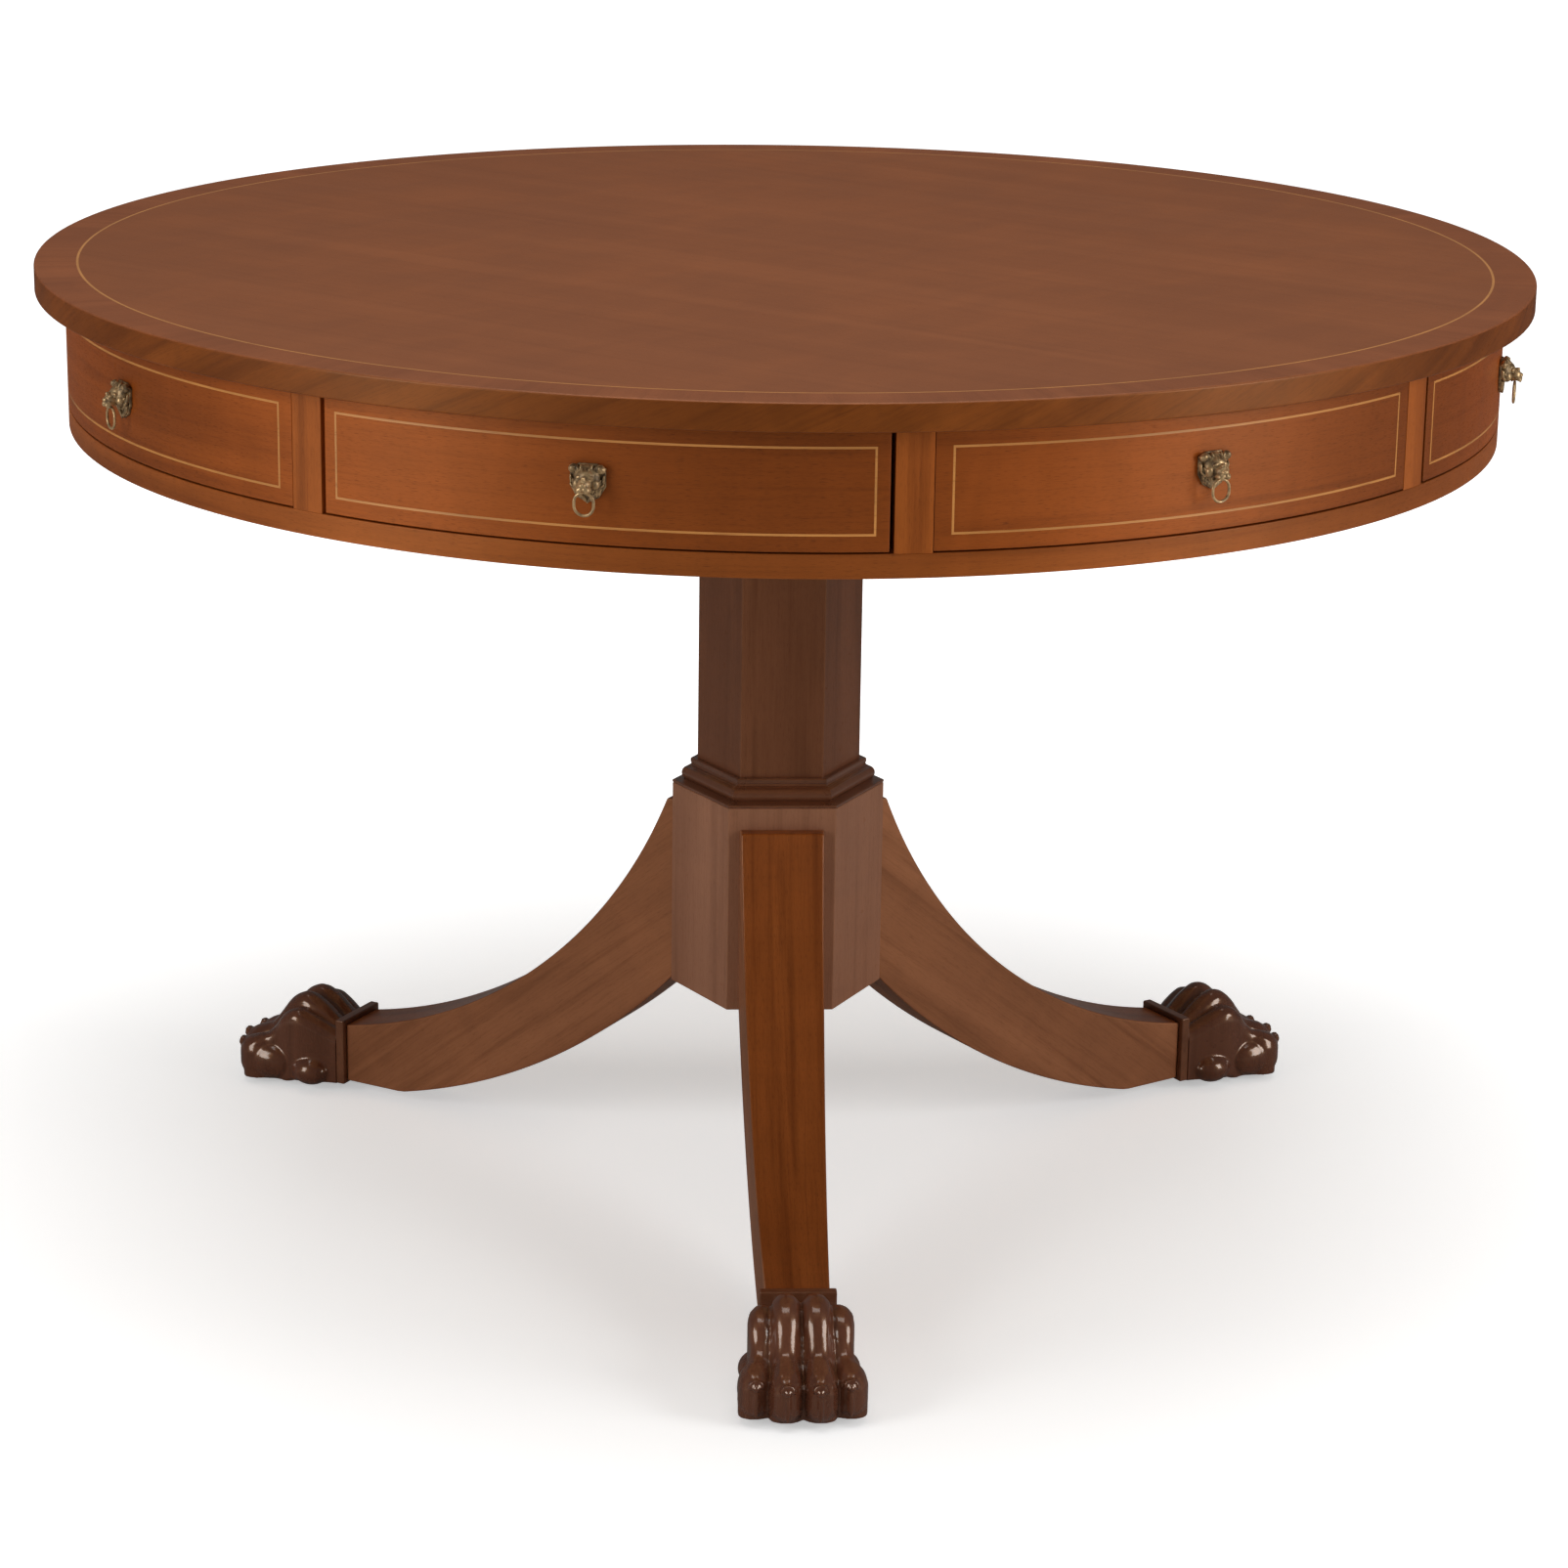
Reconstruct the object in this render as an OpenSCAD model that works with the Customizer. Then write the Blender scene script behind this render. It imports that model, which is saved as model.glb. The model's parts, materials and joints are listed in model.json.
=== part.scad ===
// Round library table: a revolving drum of drawers on a hexagonal column with three carved paw feet.
// The origin is on the column's axis at floor level, and the front drawer faces -Y.

/* [Table] */
// Height of the table top above the floor
table_h = 762; // [640:1:900]
// Diameter of the table top
top_d = 1150; // [960:1:1350]
// Thickness of the table top
top_t = 20; // [14:0.5:30]
// How far the top stands out past the drum
top_overhang = 22.5; // [10:0.5:40]

/* [Top decoration] */
// Thickness of the inlaid veneers on the top
veneer_t = 1.2; // [0.6:0.1:2]
// Width of the band around the edge of the top
crossband_w = 31.8; // [20:0.2:60]
// Width of the light line inside that band
top_string_w = 1.8; // [1:0.1:4]
// Rounding of the top's upper edge
top_round = 1; // [0.4:0.1:1.1]

/* [Drum] */
// Height of the drum under the top
drum_h = 103.4; // [85:0.1:140]
// Height of the rail around the drum's lower edge, and of the base board inside it
rail_h = 17; // [12:0.5:25]
// Thickness of that rail, measured inwards
rail_t = 22; // [15:0.5:30]
// Width of an upright between two bays
stile_w = 26; // [18:0.5:36]
// Depth of an upright, measured inwards
stile_depth = 45; // [30:1:60]
// Thickness of the boards that guide the drawers
divider_t = 12; // [8:0.5:18]
// How far a guide board's face stands inside the upright's corner
guide_inset = 4; // [1:0.5:8]

/* [Drawers] */
// Thickness of a drawer front at its middle
front_t = 22; // [16:0.5:28]
// Gap between a drawer front and the upright on each side
drawer_side_gap = 3.2; // [1:0.1:5]
// Gap below a drawer front or a dummy front
drawer_foot_gap = 1.2; // [0.5:0.1:3]
// Gap above a drawer front
drawer_head_gap = 1; // [0.5:0.1:3]
// Gap beside a dummy front
dummy_gap = 0.4; // [0.2:0.1:2]
// Thickness of a drawer's sides and back
drawer_wall = 8; // [6:0.5:14]
// Thickness of a drawer's bottom
drawer_bottom_t = 5; // [3:0.5:8]
// Gap between a drawer and the boards that guide it
drawer_run_gap = 1; // [0.4:0.1:3]
// How far a drawer's sides stop below the top
drawer_top_room = 7; // [4:0.5:15]
// Free space behind a closed drawer
drawer_back_room = 15; // [5:1:60]

/* [Drawer decoration] */
// Width of the light line on a front
string_w = 2; // [1:0.1:4]
// Depth of the light line in a front
string_t = 0.8; // [0.5:0.1:1.5]
// Distance from the end of the bay to the light line
string_end_inset = 12.3; // [8:0.1:20]
// Distance from the lower edge of the bay to the light line
string_low_inset = 12.2; // [8:0.1:20]
// Distance from the upper edge of the bay to the light line
string_high_inset = 13.8; // [8:0.1:20]

/* [Pulls] */
// Width of a pull's shield
pull_w = 24.6; // [18:0.1:34]
// Height of a pull's shield
pull_h = 26.6; // [20:0.1:36]
// Thickness of a pull's shield
pull_plate_t = 2; // [1:0.1:3]
// How far the muzzle stands out from the drum
pull_reach = 18; // [15:0.1:24]
// Width of the muzzle that carries the ring
muzzle_w = 8; // [6:0.1:10]
// Distance of the ring's hinge line from the drum
ring_reach = 11.5; // [10:0.1:14]
// How far the hinge line lies below the middle of the shield
ring_drop = 4.5; // [3:0.1:8]
// Width of a ring between the middles of its wires
ring_w = 13.5; // [12:0.1:18]
// Height of a ring between the middles of its wires
ring_h = 15.5; // [15:0.1:24]
// Thickness of the ring's wire
ring_wire = 2; // [1.4:0.1:2.6]

/* [Column] */
// Width of the hexagonal column across its corners
column_w = 130.4; // [100:0.2:160]
// Width of the hexagonal block across its corners
block_w = 170; // [140:0.2:220]
// Height of the block's lower face above the floor
block_z = 165.6; // [120:0.2:200]
// Height of the block
block_h = 168; // [130:0.5:200]
// Height of the moulding on the block
moulding_h = 20.7; // [16:0.1:30]
// Turn of the front leg away from the front drawer, in degrees
leg_turn = 16.2; // [0:0.1:60]

/* [Legs] */
// Thickness of a leg where it leaves the block
leg_w = 66; // [48:0.5:76]
// Thickness of a leg at the foot
leg_foot_w = 47.4; // [36:0.2:56]
// Distance from the axis to the collar of a foot
foot_r = 401; // [340:1:480]
// How far the leg's head stands out from the block
leg_proud = 10.4; // [5:0.1:20]
// How far the leg's head lies below the top of the block
leg_head_drop = 17.6; // [8:0.1:40]
// Height of a leg's upper edge at the foot
leg_foot_h = 62; // [50:0.5:80]
// Radius of the leg's upper curve
leg_upper_r = 420; // [380:1:700]
// Radius of the leg's lower curve
leg_lower_r = 530; // [450:1:900]
// Clearance under the level end of a leg
leg_ground_gap = 11.5; // [6:0.5:20]
// Length of that level end
leg_level = 56; // [40:1:70]

/* [Feet] */
// Thickness of a foot's collar
collar_t = 8; // [4:0.5:14]
// How far the collar stands out around the leg
collar_proud = 4.7; // [2:0.1:8]
// Length of a paw from the collar to the tip of its toes
paw_l = 104; // [80:1:120]
// Width of a paw across its toes
paw_w = 94; // [80:1:110]
// Height of a paw's knuckles
paw_h = 81; // [70:1:90]

/* [Bearing] */
// Thickness of the board on top of the column
cap_t = 24; // [18:0.5:35]
// Width of that board across its corners
cap_w = 300; // [220:1:400]
// Radius of the two bearing plates
plate_r = 90; // [60:1:120]
// Thickness of each bearing plate
plate_t = 3; // [2:0.5:6]
// Gap between the faces that turn on each other
bearing_gap = 0.3; // [0.2:0.1:1]
// Radius of the bolt that the drum turns on
bolt_r = 8; // [5:0.5:12]
// Running clearance around that bolt
bolt_fit = 0.05; // [0.02:0.01:0.1]
// Depth of that bolt in the column
bolt_depth = 120; // [60:1:200]

/* [Hidden] */
$fn = 144;

// Turns of the four drawers and of the four dummy fronts about the axis, away from the front
FRONT = 0;
RIGHT = 90;
BACK = 180;
LEFT = 270;
DUMMIES = [45, 135, 225, 315];
HALF_BAY = 22.5;
DRAWERS = [FRONT, RIGHT, BACK, LEFT];
LEGS = [leg_turn, leg_turn + 120, leg_turn + 240];

// Small clearances: a glued joint, and a tool that cuts past a face
glue = 0.1;
past = 1;
far = 3 * top_d;

// Heights of the drum
top_r = top_d / 2;
drum_r = top_r - top_overhang;
bay_top = table_h - top_t;
drum_z = bay_top - drum_h;
bay_z = drum_z + rail_h;
bay_h = bay_top - bay_z;
pull_z = (bay_z + bay_top) / 2;
string_r = top_r - crossband_w - top_string_w;

// Plan of the drum
front_r = drum_r - front_t;
corner_x = (drum_r - stile_depth) * sin(HALF_BAY) - stile_w / 2 * cos(HALF_BAY);
guide_x = corner_x - guide_inset;
drawer_x = guide_x - drawer_run_gap;
drawer_back_y = guide_x + divider_t + drawer_back_room;
drawer_z = bay_z + drawer_foot_gap;
drawer_wall_top = bay_top - drawer_top_room;
bottom_rise = 8;
bottom_groove = 4;
bottom_z = drawer_z + bottom_rise;

// Heights and half widths of the pedestal
flat = cos(30);
column_r = column_w / 2;
block_r = block_w / 2;
block_face = block_r * flat;
block_top = block_z + block_h;
lower_plate_z = drum_z - plate_t - bearing_gap;
cap_top = lower_plate_z - plate_t;
column_top = cap_top - cap_t;
tenon_r = 25;
tenon_l = 110;
column_foot = block_top - tenon_l;
tail_narrow = 20;
tail_wide = 30;
tail_depth = 18;
tail_inset = 5;
leg_head_z = block_top - leg_head_drop;
collar_w = leg_foot_w + 2 * collar_proud;
paw_r = foot_r + collar_t;
spigot_r = 10;
spigot_l = 30;
spigot_z = (leg_ground_gap + leg_foot_h) / 2;
screw_r = 2.2;
screw_head_r = 4.4;
screw_l = 14;
plate_screw_r = plate_r - 20;
under_plate_r = block_face - 8;
under_arm_w = 30;
under_screw_inset = 10;
under_screw_r = 22;
washer_r = 2.2 * bolt_r;
washer_t = 2;
bolt_head_r = 1.6 * bolt_r;
bolt_head_h = 10;

// Balls and posts that shape a paw
toe_r = 0.139 * paw_w;
knuckle_r = 0.8 * toe_r;
knuckle_out = 0.234 * paw_l;
inner_toe_x = 0.11 * paw_w;
outer_toe_x = 0.37 * paw_w;
outer_toe_back = 0.106 * paw_l;
wrist_x = 0.2 * paw_w;
wrist_r = 0.106 * paw_w;
wrist_z = 0.62 * paw_h;
heel_x = 0.16 * paw_w;
heel_r = 0.154 * paw_w;
heel_z = 0.185 * paw_h;
heel_out = 0.085 * paw_l;
pad_x = 0.34 * paw_w;
pad_out = 0.3 * paw_l;
sole_x = 0.28 * paw_w;
sole_out = 0.53 * paw_l;
sole_r = 0.128 * paw_w;
sole_h = 0.3 * paw_h;

// Details of a pull
pin_r = 0.8;
pin_head_r = 1.3;
pin_head_h = 0.8;
pin_inset = 2.4;
pin_foot = 0.2;
head_r = 0.34 * pull_w;
ear_r = 0.3 * head_r;
muzzle_tip_r = muzzle_w / 2;
bore_play = 0.4;
bore_wall = 1.2;
brow_h = 1.8;

MAHOGANY = "#8a4a2a";
RAIL_WOOD = "#9a5530";
DARK_MAHOGANY = "#4f2b1e";
VARNISHED_PAW = "#3a1c12";
PINE = "#c29a68";
BOXWOOD = "#cf9450";
BRASS = "#a58a4e";
IRON = "#4a4a4c";

// Places its children at a turn about the table's axis
module turned(angle) {
    rotate([0, 0, angle])
        children();
}

// Extrudes a side view, whose x runs outwards from the axis towards -Y and whose y runs up
module sideways(width) {
    rotate([90, 0, -90])
        linear_extrude(width, center = true)
            children();
}

// Puts an upright shape on a line that runs outwards from the axis
module outwards(r, z) {
    translate([0, -r, z])
        rotate([90, 0, 0])
            children();
}

// Flat ring in plan
module ring_plan(outer, inner) {
    difference() {
        circle(outer);
        circle(inner);
    }
}

// Plan of the space between two uprights, less a gap at each end
module bay_plan(gap) {
    apex = (stile_w / 2 + gap) / sin(HALF_BAY);
    spread = far * tan(HALF_BAY);
    polygon([[0, -apex], [spread, -apex - far], [-spread, -apex - far]]);
}

// Piece of a ring that fills the space between two uprights
module bay_ring(outer, inner, gap, z, height) {
    translate([0, 0, z])
        linear_extrude(height)
            intersection() {
                ring_plan(outer, inner);
                bay_plan(gap);
            }
}

// Light line around a front, a rectangle bent to the drum
module string_frame() {
    low = bay_z + string_low_inset;
    height = bay_top - string_high_inset - low;
    difference() {
        bay_ring(drum_r, drum_r - string_t, string_end_inset, low, height);
        bay_ring(drum_r + past, drum_r - string_t - past, string_end_inset + string_w,
            low + string_w, height - 2 * string_w);
    }
}

// Countersunk wood screw that points down from a face at height zero
module wood_screw(spare = 0) {
    translate([0, 0, -screw_l])
        cylinder(r = screw_r + spare, h = screw_l);
    translate([0, 0, screw_r - screw_head_r])
        cylinder(r1 = screw_r + spare, r2 = screw_head_r + spare, h = screw_head_r - screw_r);
}

// ---- Pedestal ----

function arc_centre(a, b, r) =
    let (d = b - a, half = norm(d) / 2, reach = sqrt(r * r - half * half))
        (a + b) / 2 + [-d[1], d[0]] / (2 * half) * reach;

module hexagon(r) {
    turned(leg_turn)
        circle(r, $fn = 6);
}

module column() {
    color(DARK_MAHOGANY)
        difference() {
            union() {
                translate([0, 0, block_top])
                    linear_extrude(column_top - block_top)
                        hexagon(column_r);
                translate([0, 0, column_foot])
                    cylinder(r = tenon_r, h = cap_top - column_foot);
            }
            translate([0, 0, cap_top - bolt_depth])
                cylinder(r = bolt_r + glue, h = bolt_depth + past);
        }
}

// Section of the moulding, its x measured from the column's face
module moulding_section() {
    foot = (block_w - column_w) / 2 * flat;
    torus_r = 0.23 * moulding_h;
    torus_x = 0.6 * foot - torus_r;
    torus_z = 0.42 * moulding_h;
    cove_r = 0.116 * moulding_h;
    difference() {
        union() {
            square([foot, 0.12 * moulding_h]);
            square([foot - 1.04 * cove_r, torus_z - torus_r]);
            translate([torus_x, torus_z])
                circle(torus_r);
            square([torus_x, torus_z + torus_r]);
            square([0.24 * foot, moulding_h]);
        }
        translate([foot, torus_z - torus_r])
            circle(cove_r);
    }
}

module column_moulding() {
    side = block_w;
    color(DARK_MAHOGANY)
        for (k = [0:5])
            turned(leg_turn + 60 * k)
                intersection() {
                    translate([0, -column_r * flat - glue, block_top])
                        sideways(side)
                            moulding_section();
                    translate([0, 0, block_top - past])
                        linear_extrude(moulding_h + 2 * past)
                            polygon([[0, 0], [side, -side / tan(30)], [-side, -side / tan(30)]]);
                }
}

// Plan of the dovetail that holds a leg in the block
module dovetail_plan(spare = 0) {
    back = tail_depth + spare;
    half_in = tail_wide / 2 + spare;
    half_out = tail_narrow / 2 + spare;
    polygon([[-half_out, -block_face - past], [-half_out, -block_face], [-half_in, -block_face + back],
        [half_in, -block_face + back], [half_out, -block_face], [half_out, -block_face - past]]);
}

module leg_block() {
    color(MAHOGANY)
        difference() {
            translate([0, 0, block_z])
                linear_extrude(block_h)
                    hexagon(block_r);
            translate([0, 0, column_foot - glue])
                cylinder(r = tenon_r + glue, h = tenon_l + past);
            for (turn = LEGS)
                turned(turn)
                    translate([0, 0, block_z - past])
                        linear_extrude(leg_head_z - block_z - past)
                            dovetail_plan(glue);
            under_screws(glue);
        }
}

// Side view of a leg, cut by its two arcs
module leg_side() {
    head = [block_face + leg_proud, leg_head_z];
    foot = [foot_r, leg_foot_h];
    belly = [block_face, block_z + 4];
    heel = [foot_r - leg_level, leg_ground_gap];
    upper = arc_centre(head, foot, leg_upper_r);
    lower = arc_centre(belly, heel, leg_lower_r);
    difference() {
        intersection() {
            translate([block_face + glue, leg_ground_gap])
                square([foot_r - block_face - glue, leg_head_z - leg_ground_gap]);
            union() {
                translate(lower)
                    circle(leg_lower_r);
                translate(heel)
                    square([leg_level, leg_foot_h - leg_ground_gap]);
            }
        }
        translate(upper)
            circle(leg_upper_r);
    }
}

// A leg tapers in plan from the block to the foot
module leg(turn) {
    color(MAHOGANY)
        difference() {
            turned(turn)
                difference() {
                    union() {
                        intersection() {
                            sideways(leg_w)
                                leg_side();
                            linear_extrude(leg_head_z)
                                polygon([[-leg_w / 2, -block_face], [leg_w / 2, -block_face],
                                    [leg_foot_w / 2, -foot_r], [-leg_foot_w / 2, -foot_r]]);
                        }
                        translate([0, 0, block_z + tail_inset])
                            linear_extrude(leg_head_z - block_z - 2 * tail_inset)
                                dovetail_plan();
                    }
                    outwards(foot_r - spigot_l, spigot_z)
                        cylinder(r = spigot_r + glue, h = spigot_l + past);
                }
            under_screws(glue);
        }
}

module foot_collars() {
    low = leg_ground_gap - collar_proud / 2;
    color(DARK_MAHOGANY)
        for (turn = LEGS)
            turned(turn)
                difference() {
                    translate([-collar_w / 2, -paw_r, low])
                        cube([collar_w, collar_t, leg_foot_h + collar_proud - low]);
                    outwards(foot_r - past, spigot_z)
                        cylinder(r = spigot_r + glue, h = collar_t + 2 * past);
                }
}

// Ball inside a paw, at a share of its width and a distance out from the collar
module paw_ball(x, out, z, r) {
    translate([x, -paw_r - out, z])
        sphere(r, $fn = 24);
}

// A toe rises to its knuckle and runs down to its tip
module toe(root_x, tip_x, tip_out) {
    hull() {
        paw_ball(root_x, knuckle_r, wrist_z, knuckle_r);
        paw_ball(root_x, knuckle_out, paw_h - knuckle_r, knuckle_r);
        paw_ball(tip_x, tip_out - 1.5 * toe_r, 1.8 * toe_r, toe_r);
        paw_ball(tip_x, tip_out - toe_r, 0.96 * toe_r, toe_r);
    }
}

// Wrist, heel and sole of a paw between its toes
module paw_body() {
    hull()
        for (side = [-1, 1]) {
            paw_ball(side * heel_x, heel_out, heel_z, heel_r);
            paw_ball(side * wrist_x, heel_out / 2, wrist_z, wrist_r);
            translate([side * sole_x, -paw_r - sole_out, 0])
                cylinder(r = sole_r, h = sole_h, $fn = 24);
            translate([side * wrist_x, -paw_r - knuckle_out, 0])
                cylinder(r = heel_r, h = sole_h, $fn = 24);
        }
}

module paw(turn) {
    color(VARNISHED_PAW)
        turned(turn)
            union() {
                intersection() {
                    union() {
                        for (side = [-1, 1]) {
                            toe(side * 0.85 * inner_toe_x, side * 1.15 * inner_toe_x, paw_l);
                            toe(side * 0.75 * outer_toe_x, side * (paw_w / 2 - toe_r),
                                paw_l - outer_toe_back);
                            paw_ball(side * pad_x, pad_out, heel_z, heel_r);
                        }
                        paw_body();
                    }
                    translate([-paw_w, -paw_r - paw_l, 0])
                        cube([2 * paw_w, paw_l, paw_h]);
                }
                outwards(foot_r - spigot_l + past, spigot_z)
                    cylinder(r = spigot_r, h = 2 * spigot_l + collar_t);
            }
}

// Places its children on the axes of the screws under the block
module under_screw_places() {
    for (turn = LEGS)
        turned(turn)
            for (r = [under_screw_r, under_plate_r - under_screw_inset])
                translate([0, -r, block_z - plate_t])
                    rotate([180, 0, 0])
                        children();
}

module under_screws(spare = 0) {
    under_screw_places()
        wood_screw(spare);
}

// Three-armed iron plate that ties the block and the legs together from below
module under_plate() {
    color(IRON)
        difference() {
            translate([0, 0, block_z - plate_t])
                linear_extrude(plate_t - glue) {
                    circle(under_arm_w);
                    for (turn = LEGS)
                        turned(turn) {
                            translate([-under_arm_w / 2, -under_plate_r + under_arm_w / 2])
                                square([under_arm_w, under_plate_r - under_arm_w / 2]);
                            translate([0, -under_plate_r + under_arm_w / 2])
                                circle(under_arm_w / 2);
                        }
                }
            under_screws(glue);
        }
}

module cap_board() {
    color(MAHOGANY)
        difference() {
            translate([0, 0, column_top + glue])
                linear_extrude(cap_t - glue)
                    hexagon(cap_w / 2);
            translate([0, 0, column_top - past])
                cylinder(r = tenon_r + glue, h = cap_t + 2 * past);
            lower_screws(glue);
        }
}

module lower_screws(spare = 0) {
    for (k = [0:3])
        turned(90 * k)
            translate([plate_screw_r, 0, lower_plate_z])
                wood_screw(spare);
}

module base_screws() {
    color(IRON) {
        under_screws();
        lower_screws();
    }
}

module lower_bearing_plate() {
    color(IRON)
        difference() {
            translate([0, 0, cap_top + glue])
                cylinder(r = plate_r, h = plate_t - glue);
            translate([0, 0, cap_top - past])
                cylinder(r = bolt_r + glue, h = plate_t + 2 * past);
            lower_screws(glue);
        }
}

// Shouldered bolt: the drum turns on its shank and its head keeps the drum down
module king_bolt() {
    head_z = bay_z + bearing_gap;
    color(IRON) {
        translate([0, 0, cap_top - bolt_depth + past])
            cylinder(r = bolt_r, h = head_z - cap_top + bolt_depth);
        translate([0, 0, head_z])
            cylinder(r = washer_r, h = washer_t);
        translate([0, 0, head_z + washer_t])
            cylinder(r = bolt_head_r, h = bolt_head_h, $fn = 6);
    }
}

// ---- Table top ----

module top_panel() {
    color(MAHOGANY)
        difference() {
            translate([0, 0, bay_top])
                cylinder(r = top_r, h = top_t);
            translate([0, 0, table_h - veneer_t])
                linear_extrude(veneer_t + past)
                    ring_plan(top_r + past, string_r);
        }
}

module top_stringing() {
    color(BOXWOOD)
        translate([0, 0, table_h - veneer_t])
            linear_extrude(veneer_t)
                ring_plan(string_r + top_string_w, string_r);
}

// Band with its grain across the edge, its outer corner rounded over
module top_crossband() {
    inner = string_r + top_string_w;
    color(MAHOGANY)
        translate([0, 0, table_h - veneer_t])
            rotate_extrude()
                union() {
                    translate([inner, 0])
                        square([top_r - top_round - inner, veneer_t]);
                    translate([inner, 0])
                        square([top_r - inner, veneer_t - top_round]);
                    translate([top_r - top_round, veneer_t - top_round])
                        intersection() {
                            circle(top_round);
                            square(top_round);
                        }
                }
}

// ---- Drum ----

module drum_base_board() {
    color(PINE)
        difference() {
            translate([0, 0, drum_z])
                cylinder(r = drum_r - rail_t - glue, h = rail_h);
            translate([0, 0, drum_z - past])
                cylinder(r = bolt_r + 2, h = rail_h + 2 * past);
            upper_screws(glue);
        }
}

module drum_rail() {
    color(RAIL_WOOD)
        translate([0, 0, drum_z])
            linear_extrude(rail_h)
                ring_plan(drum_r, drum_r - rail_t);
}

module drum_stiles() {
    color(RAIL_WOOD)
        translate([0, 0, bay_z])
            linear_extrude(bay_h)
                for (k = [0:7])
                    turned(HALF_BAY + 45 * k)
                        intersection() {
                            circle(drum_r);
                            translate([-stile_w / 2, -drum_r])
                                square([stile_w, stile_depth]);
                        }
}

// Two boards side by side, cut to length by the backs of the uprights
module guide_pair(notch_z) {
    reach = drum_r - stile_depth - glue;
    notch_h = bay_h / 2 + glue;
    difference() {
        for (side = [-1, 1])
            translate([side * (guide_x + divider_t / 2) - divider_t / 2, -reach, bay_z])
                cube([divider_t, 2 * reach, bay_h - glue]);
        for (k = [0:7])
            turned(HALF_BAY + 45 * k)
                translate([-far / 2, -reach - far, bay_z - past])
                    cube([far, far, bay_h + 2 * past]);
        for (side = [-1, 1])
            translate([-far / 2, side * (guide_x + divider_t / 2) - divider_t / 2 - glue, notch_z])
                cube([far, divider_t + 2 * glue, notch_h]);
    }
}

// Four boards halved over each other; each runs beside two drawers
module drawer_guides() {
    color(PINE) {
        guide_pair(bay_z + bay_h / 2 - glue / 2);
        turned(90)
            guide_pair(bay_z - glue / 2);
    }
}

// Blocks on the base board that stop each drawer when its front is flush
module drawer_stops() {
    stop_w = 30;
    stop_l = 14;
    stop_h = 6;
    stop_x = drawer_x * 0.45;
    color(PINE)
        for (turn = DRAWERS)
            turned(turn)
                for (side = [-1, 1])
                    translate([0, 0, bay_z])
                        linear_extrude(stop_h)
                            intersection() {
                                ring_plan(front_r - 2 * glue, front_r - stop_l);
                                translate([side * stop_x - stop_w / 2, -drum_r])
                                    square([stop_w, drum_r]);
                            }
}

module dummy_fronts() {
    z = drawer_z;
    color(MAHOGANY)
        for (turn = DUMMIES)
            turned(turn)
                difference() {
                    bay_ring(drum_r, front_r, dummy_gap, z, bay_top - drawer_head_gap - z);
                    string_frame();
                }
}

module dummy_stringing() {
    color(BOXWOOD)
        for (turn = DUMMIES)
            turned(turn)
                string_frame();
}

module dummy_pull_masks() {
    for (turn = DUMMIES)
        pull_mask(turn);
}

module upper_screws(spare = 0) {
    for (k = [0:3])
        turned(90 * k + 45)
            translate([plate_screw_r, 0, drum_z - plate_t])
                rotate([180, 0, 0])
                    wood_screw(spare);
}

module upper_bearing_plate() {
    color(IRON)
        difference() {
            translate([0, 0, drum_z - plate_t])
                cylinder(r = plate_r, h = plate_t - glue);
            translate([0, 0, drum_z - plate_t - past])
                cylinder(r = bolt_r + bolt_fit, h = plate_t + 2 * past);
            upper_screws(glue);
        }
}

module drum_screws() {
    color(IRON)
        upper_screws();
}

// ---- Drawers ----

module drawer_front(turn) {
    color(MAHOGANY)
        turned(turn)
            difference() {
                bay_ring(drum_r, front_r, drawer_side_gap, drawer_z,
                    bay_top - drawer_head_gap - drawer_z);
                string_frame();
                drawer_bottom_shape(glue);
            }
}

module drawer_stringing(turn) {
    color(BOXWOOD)
        turned(turn)
            string_frame();
}

module drawer_sides(turn) {
    color(PINE)
        turned(turn)
            difference() {
                intersection() {
                    translate([0, 0, drawer_z])
                        cylinder(r = front_r - glue, h = drawer_wall_top - drawer_z);
                    for (side = [-1, 1])
                        translate([side * drawer_x - (side + 1) * drawer_wall / 2, -drum_r, drawer_z])
                            cube([drawer_wall, drum_r - drawer_back_y, drawer_wall_top - drawer_z]);
                }
                drawer_bottom_shape(glue);
            }
}

module drawer_back(turn) {
    half = drawer_x - drawer_wall - glue;
    low = bottom_z + drawer_bottom_t + glue;
    color(PINE)
        turned(turn)
            translate([-half, -drawer_back_y - drawer_wall, low])
                cube([2 * half, drawer_wall, drawer_wall_top - low]);
}

// The bottom slides into grooves in the sides and the front, and passes under the back
module drawer_bottom_shape(spare = 0) {
    half = drawer_x - drawer_wall + bottom_groove + spare;
    translate([0, 0, bottom_z - spare])
        linear_extrude(drawer_bottom_t + 2 * spare)
            intersection() {
                circle(front_r + bottom_groove + spare);
                translate([-half, -drum_r])
                    square([2 * half, drum_r - drawer_back_y]);
            }
}

module drawer_bottom(turn) {
    color(PINE)
        turned(turn)
            drawer_bottom_shape();
}

// ---- Pulls ----

// Shield of a pull, pointed at its foot
module shield_plan() {
    half = pull_w / 2;
    shoulder = pull_h * 0.38;
    polygon([[-half, shoulder], [-half, -pull_h * 0.08], [-half * 0.62, -pull_h * 0.36],
        [0, -pull_h / 2], [half * 0.62, -pull_h * 0.36], [half, -pull_h * 0.08],
        [half, shoulder], [half * 0.5, pull_h / 2], [-half * 0.5, pull_h / 2]]);
}

// Places its children on the two pins that hold a shield
module pin_places() {
    for (side = [-1, 1])
        translate([side * (pull_w / 2 - pin_inset), 0, 0])
            children();
}

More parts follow.
